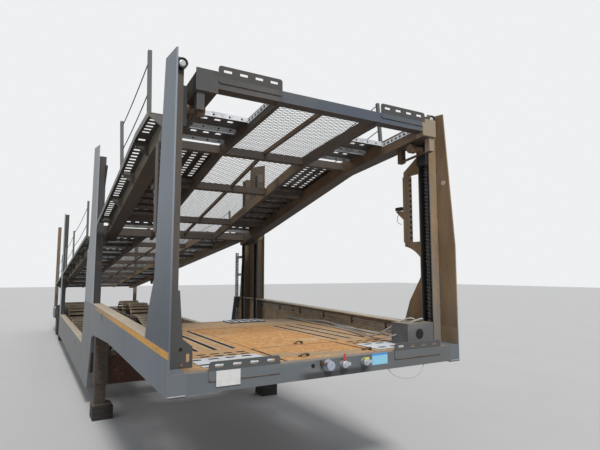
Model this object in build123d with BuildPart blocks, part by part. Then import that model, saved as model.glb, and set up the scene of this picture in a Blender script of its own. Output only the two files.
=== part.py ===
from build123d import *
import os
from math import atan2, cos, degrees

os.makedirs("parts", exist_ok=True)

# Two-level car-transporter semi-trailer, parked on its landing legs. Millimetres, ground at Z = 0,
# front face towards -Y, left side towards +X. Stations are distances behind the front face.

# Overall sizes
length = 14600
width = 2550
half_width = width / 2
coupling_reach = 60
front = -length / 2 + coupling_reach
rear_end = length - coupling_reach

# Heights over the ground
neck_bottom = 1040
neck_deck = 1180
neck_panel_front = 1323
neck_panel_rear = 1397
low_bottom = 225
low_panel_top = 740
low_deck = 450
rear_deck_level = 662
axle_height = 392

# Stations: the neck and the step from the front, the running gear and the tail from the rear end
step_top = 3900
step_foot = step_top + 330
step_rear_top = step_top + 1020
step_rear_foot = step_rear_top + 190
neck_arch_start = step_top - 1500
neck_arch_end = step_top - 200
neck_deck_end = step_top - 1000
ramp_end = step_rear_top + 80
axle_stations = (rear_end - 3040, rear_end - 1690)
low_panel_end = axle_stations[0] - 500
low_rise_end = low_panel_end - 900
low_deck_end = low_rise_end - 1000
tail_panel_start = axle_stations[1] + 550
tail_panel_end = rear_end - 160

# Plates and sections
panel_wall = 12
flange_width = 120
flange_wall = 10
deck_wall = 8
section_wall = 8
edge_gap = 2

# Lifting columns: channels open towards the middle of the vehicle
column_depth = 93
column_breadth = 146
column_wall = 10
column_outer = half_width - panel_wall
column_inner = column_outer - column_depth
spindle_radius = 25
spindle_x = column_inner + 42
front_column = 263
mid_columns = (step_top + 160, step_top + 660)
rear_column = low_panel_end - 130
tail_post = tail_panel_end - 180

# Upper decks
beam_inner = 975
beam_outer = 1120
beam_deep = 140
member_half = 30
member_top = 15
member_deep = 90
stringer_inner = 450
stringer_wide = 40
stringer_deep = 110
rib_half = 15
rib_deep = 45
sheet_wall = 8
walk_outer = 1270
front_line = ((60, 3175), (1350, 3055), (mid_columns[0] + 190, 2405))
rear_line = ((mid_columns[1] - 160, 2500), (tail_panel_start + 550, 1442))
pivot_drop = 75
pivot_radius = 24
pivot_play = 1

# Rollers of the lift nuts, and the guide under the deck that holds each of them
roller_inner = 1000
roller_step = 1050
roller_radius = 43
roller_neck = 32
roller_gap = 5
guide_arms = (-165, 205)  # behind the column's middle
guide_half = 28
guide_inner = 1058
guide_outer = 1112
guide_drop = 122
guide_bar_drop = 106
guide_bar_radius = 12

# Running gear
tyre_radius = 392
tyre_width = 243
tyre_bore = 222
twin_outer = 1250
twin_pitch = 272
hub_radius = 115
spindle_end = 1165
axle_bore = 36
axle_radius = 60


def station(distance):
    return front + distance


def placed(outline):
    """Turn (station, height) pairs into (Y, Z) points."""
    return [(station(distance), height) for distance, height in outline]


def save(piece, name):
    piece.label = name
    export_step(piece, f"parts/{name}.step")


def save_pair(piece, name):
    """Write a left-hand piece and its mirror image on the right."""
    save(piece, name + "_left")
    with BuildPart() as opposite:
        mirror(piece, about=Plane.YZ)
    save(opposite.part, name + "_right")


def save_both(piece, name):
    """Write a left-hand piece and its mirror image as the solids of one node."""
    with BuildPart() as both:
        add(piece)
        mirror(piece, about=Plane.YZ)
    save(both.part, name)


def side_plate(outline, inner, outer, mode=Mode.ADD):
    """Add or cut a plate parallel to the side of the vehicle, between two X values."""
    with BuildSketch(Plane.YZ.offset(inner)) as side:
        with BuildLine():
            Polyline(*placed(outline), close=True)
        make_face()
    extrude(side.sketch, amount=outer - inner, mode=mode)


def cross_plate(outline, distance, wall):
    """Add a plate across the vehicle from (X, height) points, from a station backwards."""
    with BuildSketch(Plane.XZ.offset(-station(distance))) as across:
        with BuildLine():
            Polyline(*outline, close=True)
        make_face()
    extrude(across.sketch, amount=-wall)


def bar(x_span, s_span, z_span, mode=Mode.ADD):
    """Add or cut a square bar between two X values, two stations and two heights."""
    middle = (sum(x_span) / 2, station(sum(s_span) / 2), sum(z_span) / 2)
    with Locations(middle):
        Box(x_span[1] - x_span[0], s_span[1] - s_span[0], z_span[1] - z_span[0], mode=mode)


def rod(x_span, distance, height, radius, mode=Mode.ADD):
    """Add or cut a round bar across the vehicle between two X values."""
    with Locations(Location((sum(x_span) / 2, station(distance), height), (0, 90, 0))):
        Cylinder(radius, x_span[1] - x_span[0], mode=mode)


def mirrored(span):
    """Return an X span on the left and its mirror image on the right."""
    return span, (-span[1], -span[0])


def slope_on(line, distance):
    """Return the slope of a deck line at a station, in radians, and the height there."""
    for start, end in zip(line, line[1:]):
        if distance <= end[0]:
            break
    rise = (end[1] - start[1]) / (end[0] - start[0])
    return atan2(end[1] - start[1], end[0] - start[0]), start[1] + (distance - start[0]) * rise


def spot(line, distance, side=0, drop=0):
    """Place on a deck line at a station, turned to the local slope, so far below the line."""
    slope, height = slope_on(line, distance)
    return Location((side, station(distance), height), (degrees(slope), 0, 0)) * Location((0, 0, -drop))


def height_on(line, distance):
    return slope_on(line, distance)[1]


def strip(line, first, last, upper, lower):
    """Outline of what follows a deck line between two stations and two depths below it."""
    knees = [distance for distance, height in line if first < distance < last]
    stations = [first, *knees, last]
    top = [(distance, height_on(line, distance) - upper) for distance in stations]
    bottom = [(distance, height_on(line, distance) - lower) for distance in reversed(stations)]
    return top + bottom


def slotted_sheet(line, s_span, x_span, slot, pitch, counts, wall=sheet_wall):
    """Add a sheet on a straight stretch of a line, with a grid of slots in it."""
    middle = sum(s_span) / 2
    slope, _ = slope_on(line, middle)
    with BuildSketch(Plane(spot(line, middle, sum(x_span) / 2))) as sheet:
        Rectangle(x_span[1] - x_span[0], (s_span[1] - s_span[0]) / cos(slope))
        with GridLocations(*pitch, *counts):
            Rectangle(*slot, mode=Mode.SUBTRACT)
    extrude(sheet.sketch, amount=-wall * cos(slope))


# Side frames: one plate from the neck down to the low section, with a flange round its edge
side_outline = (
    (0, neck_bottom), (0, neck_panel_front), (step_top, neck_panel_rear),
    (step_rear_top, neck_panel_rear), (step_rear_foot, low_panel_top), (low_panel_end, low_panel_top),
    (low_panel_end, low_bottom), (step_foot, low_bottom), (step_top, neck_bottom - 80),
    (neck_arch_end, neck_bottom - 30), (neck_arch_start, neck_bottom + 30))
neck_top = ((0, neck_panel_front), (step_top, neck_panel_rear))
flange_inner = half_width - flange_width
post_pocket = 345  # the top flange starts behind the front post
lashing_slots = ((2960, 1295), (6170, 612), (9200, 605))  # station, height
with BuildPart() as side_frame:
    side_plate(side_outline, column_outer, half_width)
    with BuildSketch(Plane.YZ.offset(flange_inner)):
        with BuildLine():
            Polyline(*placed(side_outline), close=True)
        make_face()
        offset(amount=-flange_wall, kind=Kind.INTERSECTION, mode=Mode.SUBTRACT)
    extrude(amount=flange_width)
    bar((flange_inner - 1, column_outer), (-1, post_pocket), (neck_deck, neck_panel_rear), Mode.SUBTRACT)
    bar((flange_inner, column_outer), (0, post_pocket), (neck_deck - flange_wall, neck_deck))
    for distance, height in lashing_slots:
        bar((column_outer - 1, half_width + 1), (distance - 16, distance + 16), (height - 42, height + 42),
            Mode.SUBTRACT)
save_pair(side_frame.part, "side_frame")

# Front cross beam: an open channel with two slotted stop plates lapped over its face
front_beam_deep = 80
front_beam_low = neck_bottom + 10
stop_plates = ((-1015, -504), (530, 1041))  # low X, high X
stop_top = 1242
stop_foot = 1120
stop_slots = 4
slot_level = 1214
slot_long = 62
slot_high = 21
lap_wall = 6
with BuildPart() as front_beam:
    bar((-flange_inner, flange_inner), (0, front_beam_deep), (front_beam_low, neck_deck))
    bar((-flange_inner, flange_inner), (section_wall, front_beam_deep + 1),
        (front_beam_low + section_wall, neck_deck - section_wall), Mode.SUBTRACT)
    for low, high in stop_plates:
        with BuildSketch(Plane.XZ.offset(-station(-lap_wall))) as stop:
            with Locations(((low + high) / 2, (stop_top + stop_foot) / 2)):
                RectangleRounded(high - low, stop_top - stop_foot, 24)
            with Locations(((low + high) / 2, slot_level)):
                with GridLocations((high - low) / stop_slots - 4, 1, stop_slots, 1):
                    SlotOverall(slot_long, slot_high, mode=Mode.SUBTRACT)
        extrude(stop.sketch, amount=-lap_wall)
save(front_beam.part, "front_beam")

# Neck: floor plate with its slits, plates at the front corners, members, coupler plate and kingpin
floor_edge = flange_inner - edge_gap
neck_members = (400, 1700, 2300, neck_deck_end - 40)
slit_lines = (520, 680, 840)  # X of the long slits of each track
slit_span = (800, 2110)
slit_wide = 26
corner_inner = 410
oval_rows = (525, 615)
oval_pitch = 108
oval_middle = 700
with BuildPart() as neck_floor:
    bar((-floor_edge, floor_edge), (front_beam_deep, neck_deck_end), (neck_deck - deck_wall, neck_deck))
    for side in (-1, 1):
        with BuildSketch(Plane.XY.offset(neck_deck)) as cuts:
            for across in slit_lines:
                with Locations((side * across, station(sum(slit_span) / 2))):
                    Rectangle(slit_wide, slit_span[1] - slit_span[0])
            for row in oval_rows:
                with Locations((side * oval_middle, station(row))):
                    with GridLocations(oval_pitch, 1, 4, 1):
                        Rectangle(62, 24)
            with Locations((side * corner_inner, station(410))):
                Rectangle(12, 560)
        extrude(cuts.sketch, amount=-deck_wall, mode=Mode.SUBTRACT)
save(neck_floor.part, "neck_floor")

corner_slot_rows = (210, 400)
corner_wall = 4
with BuildPart() as corner_plate:
    with BuildSketch(Plane.XY.offset(neck_deck)) as plate:
        with Locations((745, station(290))):
            Rectangle(530, 320)
        for row in corner_slot_rows:
            with Locations((775, station(row))):
                with GridLocations(130, 1, 4, 1):
                    SlotOverall(86, 44, mode=Mode.SUBTRACT)
    extrude(plate.sketch, amount=corner_wall)
save_both(corner_plate.part, "corner_plates")

member_room = (neck_bottom + 20, neck_deck - deck_wall)
with BuildPart() as neck_frame:
    for member in neck_members:
        bar((-floor_edge, floor_edge), (member - 35, member + 35), member_room)
    for rail in (-500, 500):
        bar((rail - 40, rail + 40), (front_beam_deep + edge_gap, neck_deck_end), member_room)
save(neck_frame.part, "neck_frame")

kingpin_station = 1050
coupler_half = 550
with BuildPart() as coupler_plate:
    bar((-coupler_half, coupler_half), (450, 1650), (neck_bottom + 10, neck_bottom + 20))
save(coupler_plate.part, "coupler_plate")

kingpin_profile = (  # radius, depth below the plate
    (0, 0), (36.5, 0), (36.5, 35), (25.4, 35), (25.4, 71), (35.5, 71), (35.5, 84), (0, 84))
with BuildPart() as kingpin:
    with BuildSketch(Plane.XZ.offset(-station(kingpin_station))):
        with BuildLine():
            Polyline(*[(radius, neck_bottom + 10 - depth) for radius, depth in kingpin_profile], close=True)
        make_face()
    revolve(axis=Axis((0, station(kingpin_station), 0), (0, 0, 1)))
save(kingpin.part, "kingpin")

# Step: a cross wall between neck and low section, cut down between the legs for the wheel tracks
step_wall_station = step_foot + 70
step_wall_top = 655
step_wall_wing = 1060
with BuildPart() as step_wall:
    wall_span = (step_wall_station, step_wall_station + section_wall)
    bar((-floor_edge, floor_edge), wall_span, (low_bottom + 20, step_wall_top))
    for low, high in mirrored((step_wall_wing, floor_edge)):
        bar((low, high), wall_span, (step_wall_top, neck_bottom - 60))
    for lip in (low_bottom + 20, step_wall_top - 20):
        bar((-floor_edge, floor_edge), (step_wall_station, step_wall_station + 80), (lip, lip + 20))
save(step_wall.part, "step_wall")

# Wheel tracks: slotted ramps down the step, a slatted low deck, and ladders over each axle
track_inner = 520
track_outer = 1050
track_wall = 8
ladder_deep = 30
rail_wide = 16
slat_pitch = 205
slat_long = 130
hump_radius = 540
hump_slats = 9
track_middle = (track_inner + track_outer) / 2
ramp_line = ((neck_deck_end + edge_gap, neck_deck), (ramp_end, low_deck))
ramp_slot = (track_outer - track_inner - 130, 50)
ramp_pitch = 170
with BuildPart() as step_ramp:
    ramp_span = (neck_deck_end + 2 * edge_gap, ramp_end - edge_gap)
    slotted_sheet(ramp_line, ramp_span, (track_inner, track_outer), ramp_slot, (1, ramp_pitch),
                  (1, int((ramp_span[1] - ramp_span[0]) // ramp_pitch) - 1), track_wall)
save_both(step_ramp.part, "step_ramps")

with BuildPart() as low_track:
    for low, high in ((track_inner, track_inner + rail_wide), (track_outer - rail_wide, track_outer)):
        bar((low, high), (ramp_end, low_deck_end - edge_gap), (low_deck - ladder_deep, low_deck))
    slats = int((low_deck_end - ramp_end) // slat_pitch)
    for index in range(slats):
        middle = ramp_end + (index + 0.5) * slat_pitch
        bar((track_inner, track_outer), (middle - slat_long / 2, middle + slat_long / 2),
            (low_deck - 20, low_deck))
save_both(low_track.part, "low_tracks")


def ladder_edge(drop):
    """Add one edge of the rear ladders' side rail to the current line, so far below the top."""
    radius = hump_radius - drop
    level = rear_deck_level - drop
    half = (radius ** 2 - (level - axle_height) ** 2) ** 0.5
    first, second = axle_stations
    Polyline(*placed(((low_deck_end, low_deck - drop), (low_rise_end, level), (first - half, level))))
    for axle, after in ((first, second - half), (second, tail_panel_end)):
        ThreePointArc(*placed(((axle - half, level), (axle, axle_height + radius), (axle + half, level))))
        Line(*placed(((axle + half, level), (after, level))))


rise_line = ((low_deck_end, low_deck), (low_rise_end, rear_deck_level))
with BuildPart() as rear_track:
    for low, high in ((track_inner, track_inner + rail_wide), (track_outer - rail_wide, track_outer)):
        with BuildSketch(Plane.YZ.offset(low)) as rail_side:
            with BuildLine():
                ladder_edge(0)
                ladder_edge(ladder_deep)
                Line(*placed(((low_deck_end, low_deck), (low_deck_end, low_deck - ladder_deep))))
                Line(*placed(((tail_panel_end, rear_deck_level),
                              (tail_panel_end, rear_deck_level - ladder_deep))))
            make_face()
        extrude(rail_side.sketch, amount=high - low)
    for index in range(5):
        with Locations(spot(rise_line, low_deck_end + (index + 0.5) * slat_pitch - 10, track_middle, 10)):
            Box(track_outer - track_inner, slat_long, 20)
    for first, last in ((low_rise_end, axle_stations[0] - 500), (axle_stations[1] + 500, tail_panel_end)):
        for index in range(int((last - first) // slat_pitch)):
            middle = first + (index + 0.5) * slat_pitch
            bar((track_inner, track_outer), (middle - slat_long / 2, middle + slat_long / 2),
                (rear_deck_level - 20, rear_deck_level))
    for axle in axle_stations:
        for index in range(hump_slats):
            turn = (index - (hump_slats - 1) / 2) * 13
            with Locations(Location((track_middle, station(axle), axle_height), (turn, 0, 0))
                           * Location((0, 0, hump_radius - 10))):
                Box(track_outer - track_inner, 70, 20)
save_both(rear_track.part, "rear_tracks")

# Cross-members of the low section and the rear frame over the axles
low_bays = 5
low_first = ramp_end + 100
low_bay = (low_deck_end - 100 - low_first) / low_bays
low_members = [low_first + index * low_bay for index in range(low_bays + 1)]
low_room = (low_deck - ladder_deep - 100, low_deck - ladder_deep)
with BuildPart() as low_frame:
    for member in low_members:
        bar((-floor_edge, floor_edge), (member - 30, member + 30), low_room)
    for rail in (-480, 480):
        bar((rail - 40, rail + 40), (step_wall_station + section_wall, low_members[-1] + 30), low_room)
save(low_frame.part, "low_frame")

rail_x = 470
rail_half = 40
rail_low = 500
rail_top = rear_deck_level - ladder_deep
rear_members = (  # station, reach to each side
    (low_rise_end + 100, floor_edge), (low_rise_end + 700, floor_edge), (sum(axle_stations) / 2, 1150),
    (tail_panel_start + 50, floor_edge), (tail_panel_start + 500, floor_edge),
    (tail_panel_end - 30, floor_edge))
with BuildPart() as rear_frame:
    for rail in (-rail_x, rail_x):
        bar((rail - rail_half, rail + rail_half), (low_rise_end + 50, tail_panel_end), (rail_low, rail_top))
    for member, reach in rear_members:
        bar((-reach, reach), (member - 30, member + 30), (rail_low + 40, rail_top))
save(rear_frame.part, "rear_frame")

# Tail panels behind the wheels, rear beam with its lamp openings, and the under-run bar
tail_outline = ((tail_panel_start, 480), (tail_panel_start, low_panel_top),
                (tail_panel_end, low_panel_top), (tail_panel_end, 420), (tail_panel_start + 200, 420))
with BuildPart() as tail_panel:
    side_plate(tail_outline, column_outer, half_width)
    with BuildSketch(Plane.YZ.offset(flange_inner)):
        with BuildLine():
            Polyline(*placed(tail_outline), close=True)
        make_face()
        offset(amount=-flange_wall, kind=Kind.INTERSECTION, mode=Mode.SUBTRACT)
    extrude(amount=flange_width)
save_both(tail_panel.part, "tail_panels")

lamp_span = (820, 1200)
lamp_room = (480, 600)
lamp_edge = 4
with BuildPart() as tail_beam:
    bar((-half_width, half_width), (tail_panel_end, rear_end - 60), (420, rear_deck_level))
    for low, high in mirrored(lamp_span):
        bar((low, high), (rear_end - 80, rear_end - 59), lamp_room, Mode.SUBTRACT)
save(tail_beam.part, "tail_beam")

with BuildPart() as rear_lamps:
    for low, high in mirrored(lamp_span):
        bar((low + lamp_edge, high - lamp_edge), (rear_end - 80, rear_end - 50),
            (lamp_room[0] + lamp_edge, lamp_room[1] - lamp_edge))
save(rear_lamps.part, "rear_lamps")

with BuildPart() as underrun_bar:
    bar((-1150, 1150), (rear_end - 120, rear_end), (300, 400))
    for stay in (-600, 600):
        bar((stay - 30, stay + 30), (rear_end - 110, rear_end - 70), (400, 420))
save(underrun_bar.part, "underrun_bar")

# Mudguards over the twin wheels
guard_inner = 720
guard_outer = 1262
guard_radius = 470
guard_wall = 5
with BuildPart() as mudguard:
    for axle in axle_stations:
        with BuildSketch(Plane.YZ.offset(guard_inner)):
            with Locations((station(axle), axle_height)):
                Circle(guard_radius)
                Circle(guard_radius - guard_wall, mode=Mode.SUBTRACT)
            with Locations((station(axle), axle_height + 100 - guard_radius)):
                Rectangle(3 * guard_radius, 2 * guard_radius, mode=Mode.SUBTRACT)
        extrude(amount=guard_outer - guard_inner)
save_both(mudguard.part, "mudguards")

# Axles with their trailing arms and air springs
arm_x = 470
axle_half = 620
for number, axle in enumerate(axle_stations, start=1):
    with BuildPart() as axle_beam:
        rod((-axle_half, axle_half), axle, axle_height, axle_radius)
        rod((-spindle_end, spindle_end), axle, axle_height, axle_bore - 1)
    save(axle_beam.part, f"axle_{number}")
spring_station = 220
spring_radius = 95
arm_half = 30
hanger_station = 500
with BuildPart() as suspension:
    for axle in axle_stations:
        for side in (-arm_x, arm_x):
            across = (side - 40, side + 40)
            bar(across, (axle - hanger_station, axle + 320), (axle_height - arm_half, axle_height + arm_half))
            bar(across, (axle - 90, axle + 90), (axle_height - 80, axle_height + 80))
            bar((side - 45, side + 45), (axle - hanger_station - 60, axle - hanger_station + 60),
                (axle_height - 60, rail_low))
        rod((-2 * arm_x, 2 * arm_x), axle, axle_height, axle_radius + 1, Mode.SUBTRACT)
save(suspension.part, "suspension")
with BuildPart() as air_springs:
    for axle in axle_stations:
        for side in (-arm_x, arm_x):
            with Locations((side, station(axle + spring_station), (axle_height + arm_half + rail_low) / 2)):
                Cylinder(spring_radius, rail_low - axle_height - arm_half)
save(air_springs.part, "air_springs")

# Twin wheels: two tyres, and two rims joined by the hub
shoulder = 30
rim_wall = 12
disc_wall = 14
disc_depth = 60
tyre_profile = (  # side of the middle as a share of the width, radius
    (-0.5, tyre_bore), (-0.5, tyre_radius - shoulder), (-0.4, tyre_radius),
    (0.4, tyre_radius), (0.5, tyre_radius - shoulder), (0.5, tyre_bore))
for number, axle in enumerate(axle_stations, start=1):
    for side_name, sign in (("left", 1), ("right", -1)):
        centres = [sign * (twin_outer - tyre_width / 2 - twin_pitch * row) for row in (0, 1)]
        axle_line = Axis((0, station(axle), axle_height), (1, 0, 0))
        with BuildPart() as tyres:
            for centre in centres:
                with BuildSketch(Plane.XY.offset(axle_height)):
                    with BuildLine():
                        Polyline(*[(centre + share * tyre_width, station(axle) + radius)
                                   for share, radius in tyre_profile], close=True)
                    make_face()
                revolve(axis=axle_line)
        save(tyres.part, f"tyres_{number}_{side_name}")
        with BuildPart() as rims:
            for centre, face in zip(centres, (1, -1)):
                half = tyre_width / 2 - 15
                disc = centre + sign * face * (disc_depth - tyre_width / 2)
                rod((centre - half, centre + half), axle, axle_height, tyre_bore)
                rod((centre - half - 1, centre + half + 1), axle, axle_height, tyre_bore - rim_wall,
                    Mode.SUBTRACT)
                rod((disc - disc_wall / 2, disc + disc_wall / 2), axle, axle_height, tyre_bore - rim_wall)
            rod(sorted((sign * 690, sign * (twin_outer - 40))), axle, axle_height, hub_radius)
            rod(sorted((sign * 600, sign * (spindle_end + 3))), axle, axle_height, axle_bore, Mode.SUBTRACT)
        save(rims.part, f"rims_{number}_{side_name}")

# Landing legs: outer box, inner leg, foot plate, and the block each foot stands on
leg_x = 1185
leg_half = 77
leg_station = neck_arch_end - 100
leg_block = 160
leg_box_foot = 420
inner_half = 62
foot_half = 88
neck_under = ((neck_arch_start, neck_bottom + 30), (neck_arch_end, neck_bottom - 30))
with BuildPart() as landing_leg:
    leg_span = (leg_station - leg_half, leg_station + leg_half)
    side_plate(((leg_span[0], leg_box_foot), (leg_span[0], height_on(neck_under, leg_span[0])),
                (leg_span[1], height_on(neck_under, leg_span[1])), (leg_span[1], leg_box_foot)),
               leg_x - leg_half, leg_x + leg_half)
    bar((leg_x - inner_half, leg_x + inner_half), (leg_station - inner_half, leg_station + inner_half),
        (leg_block + 20, leg_box_foot))
    bar((leg_x - 130, leg_x + foot_half), (leg_station - 115, leg_station + 115), (leg_block, leg_block + 20))
save_both(landing_leg.part, "landing_legs")
with BuildPart() as foot_block:
    bar((leg_x - 150, leg_x + foot_half), (leg_station - 130, leg_station + 130), (0, leg_block))
save_both(foot_block.part, "foot_blocks")
with BuildPart() as leg_brace:
    bar((leg_half - leg_x, leg_x - leg_half), (leg_station - 30, leg_station + 30), (760, 820))
save(leg_brace.part, "leg_brace")

# Lifting posts: an outer plate, the open column, and on the front ones a pinning bar behind it
post_back = ((283, 3313), (345, 2740), (430, 1770), (590, 1530), (666, height_on(neck_top, 666)))
left_plate = ((0, neck_panel_front), (0, 2050), (95, 3295), *post_back)
right_plate = ((0, neck_panel_front), (0, 3280), *post_back)
mid_front, mid_rear = mid_columns[0] - 110, mid_columns[1]
mid_plate = (
    (mid_front, neck_panel_rear), (mid_front, 3580), (mid_rear - 50, 3660), (mid_rear, 2900),
    (mid_rear + 80, 2330), (mid_rear + 300, 1960), (step_rear_top, neck_panel_rear))
rear_plate = (
    (rear_column - 130, low_panel_top), (rear_column - 110, 3380), (rear_column + 80, 3380),
    (rear_column + 130, low_panel_top))
front_top = 3305
mid_top = 3430
rear_top = 3350
tail_top = 3300
column_foot = neck_deck + edge_gap
column_back = front_column + column_breadth / 2
column_face = front_column - column_breadth / 2
bar_span = (515, 600)
bar_x = (1212, 1255)
gusset_x = (1226, 1238)
upper_gusset = (2775, 2990)
lower_gusset = (1880, 2110)
shelf = ((2330, 2430), 720)  # heights at the pinning bar, rear end
hook = ((3023, 3310), (mid_front - 139, 3273))  # heights at the column, tip
bracket_outline = (
    (column_outer, neck_deck), (column_outer, 1690), (1160, 1690), (1134, 1371), (1066, 1317),
    (1065, neck_deck))
bracket_wall = 8


def column(centre, low, high):
    """Add one open column, from a height up to another."""
    with BuildSketch(Plane.XY.offset(low)) as section:
        with Locations(((column_inner + column_outer) / 2, station(centre))):
            Rectangle(column_depth, column_breadth)
        with Locations(((column_inner + column_outer) / 2 - column_wall, station(centre))):
            Rectangle(column_depth, column_breadth - 2 * column_wall, mode=Mode.SUBTRACT)
    extrude(section.sketch, amount=high - low)


def front_post(plate):
    """Add the outer plate, the column, and the pinning bar with its gussets and shelf."""
    side_plate(plate, column_outer, half_width)
    column(front_column, column_foot, front_top)
    bar(bar_x, bar_span, (lower_gusset[1], upper_gusset[0]))
    side_plate(((column_back, upper_gusset[0]), (column_back, upper_gusset[1]),
                (bar_span[1], upper_gusset[0] + 50), (bar_span[1], upper_gusset[0])), *gusset_x)
    low, high = lower_gusset
    with BuildSketch(Plane.YZ.offset(gusset_x[0])) as lower_side:
        with BuildLine():
            Polyline(*placed(((column_back, low), (column_back, high), (bar_span[1], high),
                              (bar_span[1], high - 40))))
            ThreePointArc(*placed(((bar_span[1], high - 40), (455, high - 100), (column_back, low))))
        make_face()
    extrude(lower_side.sketch, amount=gusset_x[1] - gusset_x[0])
    (shelf_low, shelf_high), shelf_end = shelf
    side_plate(((bar_span[1], shelf_low), (bar_span[1], shelf_high), (shelf_end, shelf_high + 10),
                (shelf_end, shelf_high)), *gusset_x)


with BuildPart() as left_post:
    front_post(left_plate)
save(left_post.part, "front_post_left")
with BuildPart() as right_post:
    front_post(right_plate)
    cross_plate(bracket_outline, column_face - bracket_wall, bracket_wall)
    bar((1084, 1108), (column_face - bracket_wall - 1, column_face + 1), (1220, 1272), Mode.SUBTRACT)
with BuildPart() as mirrored_post:
    mirror(right_post.part, about=Plane.YZ)
save(mirrored_post.part, "front_post_right")

# Pulley housing beside the foot of the left front post, open below and behind
housing_x = (800, 1100)
housing_span = (130, 340)
housing_top = 1370
eye_radius = 34
top_eye = (1000, 235)  # X, station
front_eye = (935, housing_top - 91)  # X, height
with BuildPart() as foot_housing:
    bar(housing_x, housing_span, (neck_deck + corner_wall, housing_top))
    bar((housing_x[0] + section_wall, housing_x[1] - section_wall),
        (housing_span[0] + section_wall, housing_span[1] + 1), (neck_deck, housing_top - section_wall),
        Mode.SUBTRACT)
    with Locations((top_eye[0], station(top_eye[1]), housing_top)):
        Cylinder(eye_radius, 5 * section_wall, mode=Mode.SUBTRACT)
    with Locations(Location((front_eye[0], station(housing_span[0]), front_eye[1]), (90, 0, 0))):
        Cylinder(eye_radius, 5 * section_wall, mode=Mode.SUBTRACT)
save(foot_housing.part, "foot_housing")

with BuildPart() as mid_post:
    side_plate(mid_plate, column_outer, half_width)
    for centre in mid_columns:
        column(centre, neck_panel_rear, mid_top)
    (hook_low, hook_high), hook_tip = hook
    hook_root = mid_columns[0] - column_breadth / 2
    side_plate(((hook_root, hook_low), (hook_root, hook_high), hook_tip), column_inner, column_inner + 12)
save_pair(mid_post.part, "mid_post")

with BuildPart() as rear_post:
    side_plate(rear_plate, column_outer, half_width)
    column(rear_column, low_panel_top, rear_top)
save_pair(rear_post.part, "rear_post")

with BuildPart() as tail_stand:
    column(tail_post, low_panel_top, tail_top)
save_both(tail_stand.part, "tail_posts")

# Work lamps on the faces of the front columns
lamp_x = 1190
lamp_level = 3252
lamp_radius = 38
lamp_deep = 36
with BuildPart() as work_lamp:
    with Locations(Location((lamp_x, station(column_face - lamp_deep / 2), lamp_level), (90, 0, 0))):
        Cylinder(lamp_radius, lamp_deep)
    with Locations(Location((lamp_x, station(column_face - lamp_deep), lamp_level), (90, 0, 0))):
        Cylinder(lamp_radius - 7, 16, mode=Mode.SUBTRACT)
save_both(work_lamp.part, "work_lamps")

# Lift spindles inside the columns
spindle_spans = (  # station, foot, head
    (front_column, column_foot, front_top), (mid_columns[0], neck_panel_rear, mid_top),
    (mid_columns[1], neck_panel_rear, mid_top), (rear_column, low_panel_top, rear_top))
with BuildPart() as spindle_set:
    for centre, low, high in spindle_spans:
        with Locations((spindle_x, station(centre), (low + high) / 2)):
            Cylinder(spindle_radius, high - low)
save_both(spindle_set.part, "lift_spindles")

# Upper decks: side beams along a deck line, cross beams, stringers, rib, pins and roller guides
front_pivot = (mid_columns[0], height_on(front_line, mid_columns[0]) - pivot_drop)
rear_pivot = (mid_columns[1], height_on(rear_line, mid_columns[1]) - pivot_drop)
front_crosses = (1344, 2235, 3410, front_line[-1][0] - 100)
rear_bays = 8
rear_first = rear_line[0][0] + 70
rear_bay = (rear_line[-1][0] - 60 - rear_first) / rear_bays
rear_crosses = [rear_first + index * rear_bay for index in range(rear_bays + 1)]
pin_end = column_inner - 5


def deck_frame(line, crosses, pivot, column_station):
    """Add the welded frame of an upper deck with its pivot pins and roller guides."""
    start, end = line[0][0], line[-1][0]
    for low, high in mirrored((beam_inner, beam_outer)):
        side_plate(strip(line, start, end, 0, beam_deep), low, high)
    for low, high in mirrored((stringer_inner, stringer_inner + stringer_wide)):
        side_plate(strip(line, start + 20, end - 20, sheet_wall, stringer_deep), low, high)
    side_plate(strip(line, start + 20, end - 20, sheet_wall, rib_deep), -rib_half, rib_half)
    for cross in crosses:
        side_plate(strip(line, cross - member_half, cross + member_half, member_top, member_deep),
                   -beam_inner, beam_inner)
    for span in mirrored((beam_inner + 10, pin_end)):
        rod(span, *pivot, pivot_radius)
    arms = [column_station + arm for arm in guide_arms]
    for low, high in mirrored((guide_inner, guide_outer)):
        for arm in arms:
            side_plate(strip(line, arm - guide_half, arm + guide_half, beam_deep - 5, beam_deep + guide_drop),
                       low, high)
        lengthways = Location((0, 0, 0), (90, 0, 0))
        with Locations(spot(line, sum(arms) / 2, (low + high) / 2, beam_deep + guide_bar_drop) * lengthways):
            Cylinder(guide_bar_radius, arms[1] - arms[0])


head_beam = (12, 98)  # depths below the deck line
head_long = 80
head_stops = ((-965, -464), (488, 990))  # low X, high X
head_stop_high = (55, 70)  # below and above the deck line
cap_wall = 8
cap_rise = 22
with BuildPart() as front_deck_frame:
    deck_frame(front_line, front_crosses, front_pivot, front_column)
    head, head_level = front_line[0]
    side_plate(strip(front_line, head, head + head_long, *head_beam), -beam_inner, beam_inner)
    for low, high in mirrored((beam_inner - 8, beam_outer + 4)):
        bar((low, high), (head - cap_wall, head), (head_level - beam_deep + 5, head_level + cap_rise))
    for low, high in head_stops:
        with BuildSketch(Plane.XZ.offset(-station(head - cap_wall))) as stop:
            with Locations(((low + high) / 2, head_level + (head_stop_high[1] - head_stop_high[0]) / 2)):
                RectangleRounded(high - low, sum(head_stop_high), 20)
            with Locations(((low + high) / 2, head_level + head_stop_high[1] / 2)):
                with GridLocations((high - low) / stop_slots - 4, 1, stop_slots, 1):
                    Rectangle(slot_long, slot_high, mode=Mode.SUBTRACT)
        extrude(stop.sketch, amount=-cap_wall)
save(front_deck_frame.part, "front_deck_frame")
with BuildPart() as rear_deck_frame:
    deck_frame(rear_line, rear_crosses, rear_pivot, rear_column)
save(rear_deck_frame.part, "rear_deck_frame")

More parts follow.
